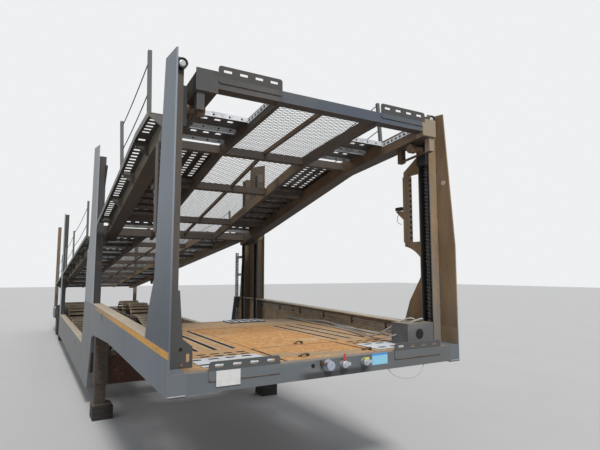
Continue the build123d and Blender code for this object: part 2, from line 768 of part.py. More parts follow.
# Wheel tracks of the upper decks: channel planks and slotted sheets, from the stringer to the beam
plank_lip = 45
lip_wall = 8
plank_slot = (53, 30)
front_planks = (  # first station, last station, slots across and along, their pitch
    (630, 900, (3, 1), (115, 1)), (930, 1190, (3, 1), (115, 1)), (1390, 2190, (4, 11), (114, 62)),
    (2285, 2480, (2, 1), (80, 1)), (2495, 2690, (2, 1), (80, 1)), (2705, 2900, (2, 1), (80, 1)),
    (2915, 3110, (2, 1), (80, 1)), (3125, 3345, (4, 1), (114, 1)), (3465, 3890, (4, 2), (114, 160)))


def plank(line, s_span, counts, pitch):
    """Add one track plank: a slotted sheet with down-turned edges at its front and rear."""
    slotted_sheet(line, s_span, (stringer_inner, beam_inner), plank_slot, pitch, counts)
    first, last = s_span
    for low, high in ((first, first + lip_wall), (last - lip_wall, last)):
        side_plate(strip(line, low, high, sheet_wall / 2, plank_lip), stringer_inner + stringer_wide,
                   beam_inner)


with BuildPart() as front_deck_plank:
    for first, last, counts, pitch in front_planks:
        plank(front_line, (first, last), counts, pitch)
save_both(front_deck_plank.part, "front_deck_planks")

rear_sheets = 2
with BuildPart() as rear_deck_plank:
    for cross, following in zip(rear_crosses, rear_crosses[1:]):
        bay = (following - cross - 2 * member_half - 20) / rear_sheets
        for index in range(rear_sheets):
            first = cross + member_half + 10 + index * bay
            plank(rear_line, (first, first + bay - 15), (4, 1), (114, 1))
save_both(rear_deck_plank.part, "rear_deck_planks")

# Expanded metal between the stringers, lying on the rib, with its diamonds as a plain grid of openings
mesh_wall = 4
mesh_opening = (185, 340)
mesh_pitch = (215, 400)
mesh_margin = 200
lane_middle = (rib_half + stringer_inner) / 2
for deck, line in (("front", front_line), ("rear", rear_line)):
    with BuildPart() as mesh:
        side_plate(strip(line, line[0][0] + 90, line[-1][0] - 25, sheet_wall - mesh_wall, sheet_wall),
                   -stringer_inner, stringer_inner)
        for (first, _), (last, _) in zip(line, line[1:]):
            rows = int((last - first - mesh_margin) // mesh_pitch[1])
            for side in (-lane_middle, lane_middle):
                with Locations(spot(line, (first + last) / 2, side)):
                    with GridLocations(*mesh_pitch, 2, rows):
                        Box(*mesh_opening, 5 * mesh_wall, mode=Mode.SUBTRACT)
    save(mesh.part, f"{deck}_mesh")

# Walkways outside the side beams, with their rail posts
tread_wall = 6
walk_slot = (62, 36)
lip_rise = 10
lip_drop = 45
gusset_drop = beam_deep - 10
rail_high = 600
rail_size = 32
rail_line = 1240


def walkway(line, s_span, pitch, gussets):
    """Add one slotted walkway outside a side beam, with its lip and the gussets under it."""
    knees = [distance for distance, height in line if s_span[0] < distance < s_span[1]]
    stations = [s_span[0], *knees, s_span[1]]
    for first, last in zip(stations, stations[1:]):
        slotted_sheet(line, (first, last), (beam_outer, walk_outer), walk_slot, (1, pitch),
                      (1, int((last - first - 20) // pitch)), tread_wall)
    side_plate(strip(line, *s_span, -lip_rise, lip_drop), walk_outer - tread_wall, walk_outer)
    for gusset in gussets:
        level = height_on(line, gusset) - tread_wall / 2
        cross_plate(((beam_outer, level), (walk_outer - tread_wall / 2, level),
                     (walk_outer - tread_wall / 2, level - lip_drop / 2), (beam_outer, level - gusset_drop)),
                    gusset, tread_wall)


def rails(line, stations):
    """Add the rail posts of one walkway, standing square on its sheet."""
    for distance in stations:
        with Locations(spot(line, distance, rail_line, -rail_high / 2)):
            Box(rail_size, rail_size, rail_high)


with BuildPart() as front_walkway:
    walkway(front_line, (850, 3860), 72, (852, 1500, 2170, 2900, 3600))
save_both(front_walkway.part, "front_walkways")
with BuildPart() as front_rail:
    rails(front_line, (950, 2200))
save_both(front_rail.part, "front_rails")
rear_walks = ((mid_columns[1] + 740, rear_column - 230), (rear_column + 240, rear_line[-1][0] - 150))
with BuildPart() as rear_walkway:
    for first, last in rear_walks:
        bays = round((last - first) / 900)
        walkway(rear_line, (first, last), 216,
                [first + 2 + index * (last - first - 10) / bays for index in range(bays + 1)])
save_both(rear_walkway.part, "rear_walkways")
with BuildPart() as rear_rail:
    (first, last), (after, end) = rear_walks
    rails(rear_line, (first + 60, (first + last) / 2, last - 340, after + 390, end - 400))
save_both(rear_rail.part, "rear_rails")

# Pivot brackets inside the mid columns, and lift nuts with their rollers in the outer columns
bracket_half = 58
bracket_high = 90
bracket_x = (beam_outer + 8, column_outer - column_wall - 8)
with BuildPart() as pivot_bracket:
    for centre, (pivot_station, level) in zip(mid_columns, (front_pivot, rear_pivot)):
        bar(bracket_x, (centre - bracket_half, centre + bracket_half),
            (level - bracket_high, level + bracket_high))
        rod((bracket_x[0] - 1, pin_end + 3), pivot_station, level, pivot_radius + pivot_play, Mode.SUBTRACT)
        with Locations((spindle_x, station(centre), level)):
            Cylinder(spindle_radius, 3 * bracket_high, mode=Mode.SUBTRACT)
save_both(pivot_bracket.part, "pivot_brackets")

nut_half = column_breadth / 2 - column_wall - 7
nut_x = (column_inner - 32, column_outer - column_wall - 6)
nut_reach = 145
nut_play = 3
for deck, line, centre in (("front", front_line, front_column), ("rear", rear_line, rear_column)):
    slope, surface = slope_on(line, centre)
    level = surface - beam_deep - (roller_radius + roller_gap) / cos(slope)
    with BuildPart() as lift_nut:
        bar(nut_x, (centre - nut_half, centre + nut_half), (level - nut_reach, level + nut_reach))
        with Locations((spindle_x, station(centre), level)):
            Cylinder(spindle_radius + nut_play, 3 * nut_reach, mode=Mode.SUBTRACT)
        rod((roller_inner, roller_step), centre, level, roller_radius)
        rod((roller_step, nut_x[0]), centre, level, roller_neck)
    save_both(lift_nut.part, f"{deck}_nuts")

# Service couplings on the front beam: a lidded round socket and two air couplings with their claws
socket_x = -106
air_line_x = (19, 215)
coupling_height = 1135
flange_half = 42
socket_radius = 32
coupling_radius = 17
claw_radius = 26
claw_thick = 22


def forward(across, first, last, radius):
    """Add a round bar along the vehicle between two distances ahead of the front face."""
    with Locations(Location((across, station(-(first + last) / 2), coupling_height), (90, 0, 0))):
        Cylinder(radius, last - first)


with BuildPart() as service_couplings:
    bar((socket_x - flange_half, socket_x + flange_half), (-6, 0),
        (coupling_height - flange_half, coupling_height + flange_half))
    forward(socket_x, 6, coupling_reach - 8, socket_radius)
    bar((socket_x - socket_radius, socket_x + socket_radius), (-coupling_reach, 8 - coupling_reach),
        (coupling_height - socket_radius, coupling_height + flange_half))
    for across in air_line_x:
        forward(across, 0, coupling_reach - claw_thick, coupling_radius)
        forward(across, coupling_reach - claw_thick, coupling_reach, claw_radius)
        bar((across, across + 44), (claw_thick / 2 - coupling_reach, -coupling_reach + claw_thick),
            (coupling_height - 14, coupling_height + 14))
save(service_couplings.part, "service_couplings")
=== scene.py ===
"""Looks of a two-level car-transporter semi-trailer, parked on its landing legs."""

from math import atan2, cos, pi, radians, sin

import bmesh
import bpy
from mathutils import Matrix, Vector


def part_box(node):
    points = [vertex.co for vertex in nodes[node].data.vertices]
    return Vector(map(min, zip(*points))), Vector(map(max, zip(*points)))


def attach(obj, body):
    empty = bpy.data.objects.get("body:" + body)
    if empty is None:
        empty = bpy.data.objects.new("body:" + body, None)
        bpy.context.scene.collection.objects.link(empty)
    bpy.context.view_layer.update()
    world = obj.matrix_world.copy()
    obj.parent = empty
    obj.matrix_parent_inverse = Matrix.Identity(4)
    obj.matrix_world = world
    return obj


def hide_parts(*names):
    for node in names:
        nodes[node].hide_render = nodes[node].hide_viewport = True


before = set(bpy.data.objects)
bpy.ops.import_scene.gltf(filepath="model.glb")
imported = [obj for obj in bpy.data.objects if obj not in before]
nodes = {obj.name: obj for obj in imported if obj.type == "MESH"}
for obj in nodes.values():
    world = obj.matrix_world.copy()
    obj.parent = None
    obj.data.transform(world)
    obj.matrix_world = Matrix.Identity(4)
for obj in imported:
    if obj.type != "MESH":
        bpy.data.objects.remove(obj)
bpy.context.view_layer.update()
scene = bpy.context.scene

# Every place in a table is (across, distance behind the front face, height), in metres; left is positive
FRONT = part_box("side_frame_left")[0].y
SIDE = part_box("side_frame_left")[1].x
NECK_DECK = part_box("neck_floor")[1].z
PANEL_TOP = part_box("side_frame_left")[1].z
PANEL_FRONT = 1.323
HEAD_TOP = 3.156
STEP_TOP = 3.900
REAR_DECK = 4.45
POST_PLATE = 1.2622
SPINDLE_RADIUS = 0.025
SPINDLE_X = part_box("lift_spindles")[1].x - SPINDLE_RADIUS
AXLES = (11.500, 12.850)
TYRE_MIDDLES = (1.1285, 0.8565)
SIDES = (("left", 1), ("right", -1))

# Lift spindles, as (distance behind the front face, foot, top)
SPINDLES = ((0.263, 1.182, 3.305), (4.060, 1.397, 3.430), (4.560, 1.397, 3.430), (10.870, 0.740, 3.350))

# Deck lines, as (distance behind the front face, height) of the running surface
FRONT_LINE = ((0.150, 3.1666), (1.350, 3.055), (4.225, 2.4106))
REAR_LINE = ((4.490, 2.490), (13.925, 1.4448))

# Row axes by number, and the turns that lay an upright drum along the trailer or across it
ACROSS, ALONG, UP = range(3)
LENGTHWISE = (pi / 2, 0, 0)
CROSSWISE = (0, pi / 2, 0)


def place(across, distance, height):
    """Row place of a point given by its distance behind the front face."""
    return across, FRONT + distance, height


def both_sides(places):
    """Places of the left side, and the same ones on the right."""
    return [(way * across, distance, height) for way in (1, -1) for across, distance, height in places]


class Socket:
    """One output in a node tree. Arithmetic on it adds Math nodes to that tree."""

    def __init__(self, tree, link=None):
        self.tree = tree
        self.link = link

    def node(self, kind, inputs=(), output=0, **settings):
        """Add any node: its settings first, then the values or links of its sockets."""
        made = self.tree.nodes.new(kind)
        for name, value in settings.items():
            setattr(made, name, value)
        for name, value in dict(inputs).items():
            if isinstance(value, Socket):
                self.tree.links.new(value.link, made.inputs[name])
            else:
                made.inputs[name].default_value = value
        return Socket(self.tree, made.outputs[output])

    def math(self, operation, *values):
        return self.node("ShaderNodeMath", dict(enumerate((self, *values))), operation=operation)

    def __add__(self, other):
        return self.math("ADD", other)

    __radd__ = __add__

    def __mul__(self, other):
        return self.math("MULTIPLY", other)

    __rmul__ = __mul__

    def __sub__(self, other):
        return self.math("SUBTRACT", other)

    def __rsub__(self, other):
        return self.math("MULTIPLY", -1).math("ADD", other)

    def __abs__(self):
        return self.math("ABSOLUTE")

    def __gt__(self, other):
        return self.math("GREATER_THAN", other)

    def __lt__(self, other):
        return self.math("LESS_THAN", other)

    def between(self, low, high):
        return (self > low) * (self < high)

    def near(self, middle, half_width):
        """1 within half a width of a value."""
        return abs(self - middle) < half_width

    def at_least(self, other):
        return self.math("MAXIMUM", other)

    def at_most(self, other):
        return self.math("MINIMUM", other)

    def clip(self, low, high):
        """0 at low, 1 at high, and a smooth rise between."""
        return self.node("ShaderNodeMapRange", {"Value": self, "From Min": low, "From Max": high},
                         interpolation_type="SMOOTHSTEP")


def colour_mix(factor, first, second):
    """Mix two colours, each a link or three numbers."""
    inputs = {0: factor}
    for slot, colour in ((6, first), (7, second)):
        inputs[slot] = colour if isinstance(colour, Socket) else (*colour, 1)
    return factor.node("ShaderNodeMix", inputs, 2, data_type="RGBA")


def shade(colour, brightness):
    return tuple(part * brightness for part in colour)


class Surface:
    """A material in the making: the places on it, its noises, and the colour laid on so far."""

    def __init__(self, name):
        self.material = bpy.data.materials.new(name)
        self.material.use_nodes = True
        self.tree = self.material.node_tree
        self.shader = self.tree.nodes["Principled BSDF"]
        self.place = Socket(self.tree).node("ShaderNodeTexCoord", output="Object")
        self.across, row_y, self.height = (self.part(self.place, axis) for axis in (ACROSS, ALONG, UP))
        self.along = row_y - FRONT
        self.off_middle = abs(self.across)
        self.colour = None

    def part(self, vector, axis):
        """What a vector has along one row axis."""
        return vector.node("ShaderNodeSeparateXYZ", {"Vector": vector}, axis)

    def over(self, mask, colour):
        """Lay a colour over what is there, as far as the mask says."""
        self.colour = colour_mix(mask, self.colour, colour)

    def noise(self, scale, detail=4, stretch=(1, 1, 1), roughness=0.55):
        """Noise from 0 to 1; scale is in waves a metre, and stretch divides it along an axis."""
        where = self.place.node("ShaderNodeMapping",
                                {"Vector": self.place, "Scale": tuple(1 / part for part in stretch)})
        return where.node("ShaderNodeTexNoise", {"Vector": where, "Scale": scale, "Detail": detail,
                                                 "Roughness": roughness})

    def edges(self):
        """Near 1 along sharp edges, 0 on flat faces."""
        rounded = self.place.node("ShaderNodeBevel", {"Radius": 0.006}, samples=4)
        flat = self.place.node("ShaderNodeNewGeometry", output="Normal")
        same = rounded.node("ShaderNodeVectorMath", {0: rounded, 1: flat}, "Value", operation="DOT_PRODUCT")
        return same.clip(0.99, 0.90)

    def facing(self, axis):
        """How far the surface faces along a row axis, from -1 to 1."""
        return self.part(self.place.node("ShaderNodeNewGeometry", output="Normal"), axis)

    def finish(self, roughness, metallic=0.0, bump=None, depth=0.002):
        """Link the colour and these values to the shader; roughness stops at 1."""
        if isinstance(roughness, Socket):
            roughness = roughness.at_most(1)
        inputs = self.shader.inputs
        for name, value in (("Base Color", self.colour), ("Roughness", roughness), ("Metallic", metallic)):
            if isinstance(value, Socket):
                self.tree.links.new(value.link, inputs[name])
            else:
                inputs[name].default_value = value
        if bump is not None:
            normal = bump.node("ShaderNodeBump", {"Height": bump, "Distance": depth, "Strength": 0.8},
                               "Normal")
            self.tree.links.new(normal.link, inputs["Normal"])
        return self.material


# Colours of the real finishes, and of the painted shade underneath, as linear values
GREY_PAINT = (0.185, 0.212, 0.245)
GREY_POST = (0.262, 0.298, 0.338)
GREY_RIM = (0.30, 0.31, 0.31)
GREY_DUSTY = (0.235, 0.225, 0.200)
GREY_BLEACHED = (0.46, 0.49, 0.51)
GREY_WALKWAY = (0.30, 0.315, 0.295)
POST_FOOT = (0.080, 0.098, 0.118)
POST_HANDLED = (0.115, 0.088, 0.064)
PANEL_LINING = (0.60, 0.42, 0.245)
TAN_RUST = (0.325, 0.225, 0.130)
TAN_INNER = (0.33, 0.235, 0.130)
PALE_DUST = (0.66, 0.54, 0.39)
FLOOR_DUST = (0.42, 0.38, 0.31)
DARK_DIRT = (0.050, 0.046, 0.042)
RUST_DARK = (0.085, 0.036, 0.018)
RUST_BROWN = (0.20, 0.085, 0.032)
RUST_ORANGE = (0.47, 0.20, 0.062)
BROWN = (0.205, 0.130, 0.072)
BROWN_DARK = (0.100, 0.066, 0.040)
# Painted shade for the decks' faces turned down
BROWN_UNDER = (0.034, 0.026, 0.020)
ZINC = (0.50, 0.515, 0.53)
STRIPE = (0.74, 0.37, 0.045)
GREASE = (0.014, 0.014, 0.016)
# Painted shade for the zinc's faces turned down
UNDER_BLACK = (0.020, 0.017, 0.014)


def inward(made):
    """1 where a surface faces the middle of the trailer."""
    return made.across * made.facing(ACROSS) < -0.3


def outward(made):
    return made.across * made.facing(ACROSS) > 0.3


def in_columns(made):
    """1 on the greasy walls inside the lifting columns."""
    column_half, column_web = 0.0640, 1.2545
    beside = sum(made.along.near(centre, column_half) for centre, _, _ in SPINDLES)
    return beside.at_most(1) * (made.off_middle < column_web)


def behind_plate(made):
    """1 on what stands inside the posts' outer plates."""
    return made.off_middle < POST_PLATE


def below_edge(made):
    """Distance below the neck's sloping top edge."""
    return made.along * ((PANEL_TOP - PANEL_FRONT) / STEP_TOP) + PANEL_FRONT - made.height


def speckled_rust(made):
    return colour_mix(made.noise(70, 4), RUST_DARK, RUST_ORANGE)


def orange_stripe(made):
    """The orange stripe under the neck's top edge, scuffed and faded towards the rear."""
    stripe_top, stripe_foot, stripe_end = 0.004, 0.050, STEP_TOP - 0.35
    band = below_edge(made).between(stripe_top, stripe_foot) * (made.along < stripe_end)
    outside = made.off_middle > SIDE - 0.004
    scuffed = made.noise(22, 5).clip(0.70, 0.62) * (1 - made.along.clip(1.2, 4.2) * 0.7)
    made.over(band * outside * scuffed, STRIPE)


def side_panel(made):
    """The stripe outside, the brown lining inside with a painted shadow just under the top edge and its pale
    worn edge, and the ends.
    """
    orange_stripe(made)
    shadow_rim, worn_rim, behind_post, end_face = 0.060, 0.014, 0.560, 0.007
    brown = colour_mix(made.noise(13, 6).clip(0.3, 0.7), shade(PANEL_LINING, 0.65), PANEL_LINING)
    # Painted shadow: the lining darker just under the neck's top edge, where the flange above shades it
    brown = colour_mix((below_edge(made) < shadow_rim) * 0.6, brown, (0.12, 0.085, 0.055))
    brown = colour_mix((below_edge(made) < worn_rim) * 0.9, brown, (0.74, 0.64, 0.49))
    brown = colour_mix(made.along < behind_post, brown, TAN_RUST)
    made.over(inward(made) * 0.95, brown)
    made.over(made.facing(ALONG).clip(-0.5, -0.9) * 0.8, (0.105, 0.119, 0.130))
    made.over((made.along < end_face) * (made.facing(ALONG) > -0.9) * 0.7, (0.30, 0.22, 0.12))


def post_outside(made):
    """Bleached mid and rear posts, and the front post's plate darker towards its foot."""
    made.over(made.along.clip(3.5, 4.0) * 0.55, GREY_BLEACHED)
    made.over(made.height.clip(2.5, 1.35) * made.along.clip(4.0, 3.0) * 0.95, POST_FOOT)


def post_inside(made):
    """Brown handling marks on what stands behind the plates, greyer at the foot, and black further back as
    painted shade.
    """
    handling_and_shade = colour_mix(made.noise(9, 5, (1, 1, 5)).clip(0.35, 0.65), shade(POST_HANDLED, 0.6), POST_HANDLED)
    handling_and_shade = colour_mix(made.height.clip(2.0, 1.6) * 0.9, handling_and_shade, (0.055, 0.055, 0.054))
    # Painted shade: black from 3.0 m behind the front face on
    handling_and_shade = colour_mix(made.along.clip(3.0, 3.6) * 0.85, handling_and_shade, (0.018, 0.016, 0.016))
    made.over(behind_plate(made) * 0.95, handling_and_shade)


def weathered_paint(name, base, rust_amount, dust_amount, fresh=None, later=None):
    """Sprayed paint with dust, run-down streaks, worn edges and rust where it has chipped.

    What is fresh goes straight on the paint, and what is later goes on the dust blown to the rear.
    """
    made = Surface(name)
    broad = made.noise(1.3, 3)
    fine = made.noise(38, 5)
    patches = made.noise(4.5, 7, roughness=0.62)
    made.colour = colour_mix(broad * 0.6 + fine * 0.4, shade(base, 0.76), base)
    if fresh:
        fresh(made)
    to_rear = made.along.clip(0.6, 4.6) * (0.35 + 0.9 * broad)
    made.over(to_rear.at_most(1) * (dust_amount * 1.3), GREY_DUSTY)
    if later:
        later(made)
    made.over(made.noise(9, 4, (1, 1, 9)).clip(0.52, 0.78) * (0.5 * dust_amount), DARK_DIRT)
    settled = made.facing(UP).clip(0.4, 0.95) * (0.55 + 0.6 * made.noise(6, 5)) * (dust_amount * 1.9)
    made.over((settled * (made.along > 0.30)).at_most(0.94), PALE_DUST)
    splashed = made.height.clip(1.3, 0.3) * made.noise(3, 5).clip(0.35, 0.75)
    made.over(splashed * (0.6 * dust_amount), (0.20, 0.17, 0.14))
    chipped = (made.edges() * made.noise(16, 5).clip(0.47, 0.60)).at_least(patches.clip(0.665, 0.70))
    rusted = chipped * rust_amount
    made.over(rusted, speckled_rust(made))
    runs = made.noise(14, 4, (1, 1, 14)).clip(0.60, 0.74) * patches.clip(0.50, 0.66)
    made.over(runs * (0.6 * rust_amount), RUST_BROWN)
    made.over(in_columns(made) * 0.95, GREASE)
    return made.finish(0.50 + 0.2 * fine + 0.25 * rusted, bump=fine * 0.25 + rusted * 0.6 + patches * 0.3,
                       depth=0.003)


def beam_paint(name):
    """Grey paint of the cross beams; the stop plates lapped over the front one are darker."""
    made = Surface(name)
    fine = made.noise(36, 5)
    dull, clean = (0.090, 0.102, 0.112), (0.128, 0.142, 0.154)
    made.colour = colour_mix(made.noise(2.4, 4) * 0.6 + fine * 0.4, dull, clean)
    made.over(made.across.clip(-0.5, 0.9) * 0.45, (0.110, 0.105, 0.094))
    made.over(made.noise(8, 5, (5, 1, 1)).clip(0.52, 0.72) * 0.45, (0.21, 0.20, 0.175))
    lapped = (made.along < 0.001) * made.height.clip(NECK_DECK, NECK_DECK + 0.006)
    made.over(lapped * 0.93, (0.060, 0.064, 0.064))
    behind_couplings = made.height.clip(1.112, 1.078) * abs(made.across + 0.03).clip(0.36, 0.24)
    made.over(behind_couplings * 0.85, (0.022, 0.022, 0.024))
    settled = made.facing(UP).clip(0.4, 0.95) * (0.5 + 0.5 * made.noise(6, 5))
    made.over(settled * 0.7, (0.38, 0.29, 0.20))
    chipped = made.edges() * made.noise(16, 5).clip(0.45, 0.60)
    chipped = chipped.at_least(made.noise(7, 7, roughness=0.65).clip(0.68, 0.71))
    made.over(chipped * 0.6, speckled_rust(made))
    return made.finish(0.52 + 0.25 * fine, bump=fine * 0.3 + chipped * 0.5)


def rusty_post(name):
    """Old post: paint mostly gone to smooth tan rust, with grey runs left, dark handling marks, and painted
    shade further back.
    """
    made = Surface(name)
    fine = made.noise(34, 6)
    made.colour = colour_mix(made.noise(3.2, 6, (1, 1, 3)).clip(0.30, 0.72), (0.200, 0.130, 0.072), TAN_RUST)
    made.over(fine.clip(0.45, 0.8) * 0.5, (0.38, 0.27, 0.155))
    made.over(made.noise(5.5, 5, (0.6, 0.6, 6)).clip(0.54, 0.66) * 0.75, (0.175, 0.182, 0.185))
    flange = behind_plate(made) * made.height.clip(2.3, 1.6) * made.noise(4, 4, (1, 1, 3)).clip(0.38, 0.55)
    made.over(flange * 0.7, (0.185, 0.172, 0.150))
    # Painted shade: the post darker from 3.0 m behind the front face on
    made.over(made.along.clip(3.0, 3.6) * 0.45, (0.050, 0.038, 0.026))
    marks = made.noise(18, 6).clip(0.66, 0.74)
    made.over(marks * 0.7, RUST_DARK)
    made.over(in_columns(made) * 0.96, GREASE)
    return made.finish(0.66 + 0.2 * fine, bump=fine + marks)


def upper_deck(made, broad, fine, drawn):
    """Colours of the upper decks: painted shade on crosswise faces, dark stringers, a grey head beam, tan
    insides behind.
    """
    beam_side, head_beam, plates_front = 0.97, 0.145, 0.0535
    # Painted shade: faces turned along the trailer darkened nearly to black
    made.over(abs(made.facing(ALONG)).clip(0.5, 0.9) * 0.75,
              colour_mix(fine, (0.026, 0.024, 0.026), (0.054, 0.050, 0.050)))
    made.over(made.off_middle.between(0.44, 0.50) * 0.75, (0.040, 0.030, 0.024))
    rubbed = made.across.between(0.42, 0.47) * (made.facing(ACROSS) < -0.5)
    rubbed = rubbed * broad.clip(0.25, 0.50) * made.along.clip(1.2, 2.0)
    made.over(rubbed * 0.8, (0.31, 0.215, 0.120))
    made.over((made.off_middle > beam_side) * outward(made) * 0.7,
              colour_mix(drawn.clip(0.35, 0.65), (0.105, 0.098, 0.070), (0.215, 0.205, 0.155)))
    rear_deck = made.along > REAR_DECK
    made.over(made.along.clip(1.8, 3.6) * 0.55 * (1 - rear_deck), (0.045, 0.034, 0.026))
    clean = inward(made) * rear_deck * made.noise(5, 5, (1, 3, 1)).clip(0.30, 0.60)
    made.over(clean * 0.75, TAN_INNER)
    head = colour_mix(made.across > -0.46, (0.066, 0.064, 0.064), (0.072, 0.088, 0.112))
    head = colour_mix(broad.clip(0.45, 0.75) * 0.4, head, (0.15, 0.14, 0.125))
    head = colour_mix(made.across > 0.96, head, (0.30, 0.235, 0.165))
    made.over((made.along < head_beam) * 0.94, head)
    stop_plates = (made.along < plates_front) * made.off_middle.near(0.727, 0.266)
    stop_plates = stop_plates * made.height.clip(HEAD_TOP, HEAD_TOP + 0.006)
    made.over(stop_plates * 0.93, (0.052, 0.050, 0.047))


def deck_steel(name, light, dark, under, dust_amount=0.4, upper=False, rim=None):
    """Painted deck member worn brown: painted shade underneath, dusty on top, with rust along its edges."""
    made = Surface(name)
    broad = made.noise(2.0, 5)
    fine = made.noise(30, 6)
    drawn = made.noise(7, 5, (1, 6, 1))
    made.colour = colour_mix(broad.clip(0.35, 0.68), dark, light)
    made.over(drawn.clip(0.55, 0.72) * 0.55, shade(dark, 0.5))
    if upper:
        upper_deck(made, broad, fine, drawn)
    else:
        made.over(inward(made) * 0.6, TAN_INNER)
    if rim:
        made.over((made.off_middle > rim) * outward(made) * 0.8, GREY_WALKWAY)
    made.over(made.edges() * made.noise(15, 5).clip(0.40, 0.60) * 0.7, (0.30, 0.17, 0.08))
    # Painted shade: faces turned down take the dark under colour
    made.over(made.facing(UP).clip(-0.35, -0.85) * 0.85, under)
    made.over(made.facing(UP).clip(0.5, 0.95) * made.noise(5, 5).clip(0.25, 0.7) * dust_amount, FLOOR_DUST)
    return made.finish(0.60 + 0.25 * fine, bump=fine + broad)


def rusty_steel(name, light, dark, dust_amount=0.3, ridge=0.004, bright_rust=0.45):
    """Bare steel gone brown, with flaking patches and settled dust."""
    made = Surface(name)
    flakes = made.noise(26, 8, roughness=0.68)
    made.colour = colour_mix(flakes.clip(0.35, 0.65), dark, light)
    made.over(made.noise(2.2, 5).clip(0.45, 0.75) * 0.5, shade(dark, 0.45))
    made.over(made.noise(11, 6).clip(0.60, 0.72) * bright_rust, RUST_ORANGE)
    made.over(made.facing(UP).clip(0.5, 0.95) * made.noise(5, 5).clip(0.3, 0.7) * dust_amount, FLOOR_DUST)
    return made.finish(0.72 + 0.2 * flakes, bump=flakes, depth=ridge)


def galvanised(name, brightness, dirt, under=None, brown_from=None, shine=0.4):
    """Hot-dip zinc with its spangle, stains and rust, and painted shade underneath, or on all but its tops
    when no under colour is given; forward faces at the rear get a painted highlight.
    """
    made = Surface(name)
    cells = made.place.node("ShaderNodeTexVoronoi", {"Vector": made.place, "Scale": 70}, "Color")
    spangle = cells.node("ShaderNodeSeparateColor", {"Color": cells})
    stains = made.noise(7, 6)
    made.colour = colour_mix(spangle * 0.45 + made.noise(3, 4) * 0.55, shade(ZINC, 0.62 * brightness),
                             shade(ZINC, brightness))
    made.over(stains.clip(0.50, 0.72) * dirt, (0.13, 0.10, 0.075))
    rust = made.noise(12, 7, roughness=0.65).clip(0.62, 0.70) * (0.8 * dirt)
    made.over(rust, RUST_BROWN)
    if brown_from:
        first, last = brown_from
        old = made.along.clip(first, first + 0.1) * made.along.clip(last + 0.1, last)
        made.over(old * 0.9, colour_mix(stains, (0.035, 0.024, 0.018), (0.115, 0.075, 0.050)))
    if under:
        # Painted shade: faces turned down take the under colour
        made.over(made.facing(UP).clip(-0.5, -0.9) * 0.93, under)
        # Painted highlight: forward faces behind the start of the rear deck made nearly white
        bright_lip = made.facing(ALONG).clip(-0.5, -0.85) * (made.along > REAR_DECK) * stains.clip(0.60, 0.45)
        made.over(bright_lip * 0.85, (0.74, 0.76, 0.78))
    else:
        # Painted shade: with no under colour, every face but the top is darkened
        made.over(made.facing(UP).clip(0.6, 0.3) * 0.9, (0.035, 0.033, 0.030))
    return made.finish(0.42 + 0.2 * spangle + 0.3 * rust, (shine - shine * rust).at_least(0), stains, 0.001)


def dark_finish(name, base, roughness, dust=0.25, bump_scale=60, depth=0.001, metallic=0.0):
    """Dark greasy, rubber or plastic surface with dust in its hollows and on its top."""
    made = Surface(name)
    grain = made.noise(bump_scale, 5)
    settled = made.facing(UP).clip(0.3, 1.0) * 0.6 + 0.4
    dusty = made.noise(6, 6).clip(0.42, 0.72) * settled * dust
    made.colour = colour_mix(grain, shade(base, 0.7), shade(base, 1.3))
    made.over(dusty, (0.21, 0.185, 0.155))
    return made.finish(roughness + 0.25 * dusty, metallic, grain, depth)


def nut_finish(name):
    """Greasy black lift nuts, with worn brown rollers on their inner ends."""
    made = Surface(name)
    grain = made.noise(60, 5)
    worn = made.noise(20, 5).clip(0.35, 0.65)
    made.colour = colour_mix(grain, (0.012, 0.012, 0.013), (0.026, 0.026, 0.028))
    rollers = made.off_middle < 1.136
    made.over(rollers * 0.95, colour_mix(worn, (0.085, 0.050, 0.030), (0.24, 0.145, 0.080)))
    return made.finish(0.45 + 0.2 * worn, bump=grain, depth=0.0008)


def plain_dusty(name, base, roughness=0.4, grime=0.35, metallic=0.0):
    """Small fitting: one colour with speckled grime."""
    made = Surface(name)
    speck = made.noise(45, 6)
    made.colour = colour_mix(speck, shade(base, 0.82), base)
    made.over(made.noise(17, 6).clip(0.5, 0.75) * grime, (0.10, 0.085, 0.07))
    return made.finish(roughness + 0.2 * speck, metallic, speck, 0.0005)


def timber(name):
    """Old wet wood with its grain along X, made darker still as painted shade."""
    made = Surface(name)
    grain = made.noise(30, 6, (9, 1, 1), 0.6)
    # Near-black colour: partly wet wood, partly painted shade
    made.colour = colour_mix(grain.clip(0.3, 0.7), (0.010, 0.009, 0.008), (0.038, 0.031, 0.026))
    made.over(made.noise(7, 5).clip(0.55, 0.8) * 0.4, (0.075, 0.066, 0.056))
    return made.finish(0.8, bump=grain, depth=0.004)


def floor_slots(made, edge, first_weld):
    """The slots of the neck floor, darkened as painted shade: long slits with pale edges, a row of ovals, and
    a gap in front.
    """
    lane_edge = 0.91
    slit = (made.off_middle - 0.520).math("PINGPONG", 0.080)
    slit_room = made.off_middle.between(0.44, lane_edge) * made.along.between(0.79, 2.12)
    made.over((slit < 0.036) * slit_room * 0.65, (0.62, 0.54, 0.43))
    oval = (made.off_middle - 0.538).math("PINGPONG", 0.054) < 0.037
    oval_rows = sum(made.along.near(row, 0.022) for row in (0.525, 0.615))
    ovals = oval * oval_rows * made.off_middle.between(0.49, lane_edge)
    gap = made.off_middle.near(edge, 0.012) * (made.along < first_weld)
    # Painted shade: the slits, ovals and gap darkened
    made.over(((slit < 0.023) * slit_room + ovals + gap).at_most(1) * 0.9, (0.040, 0.026, 0.020))


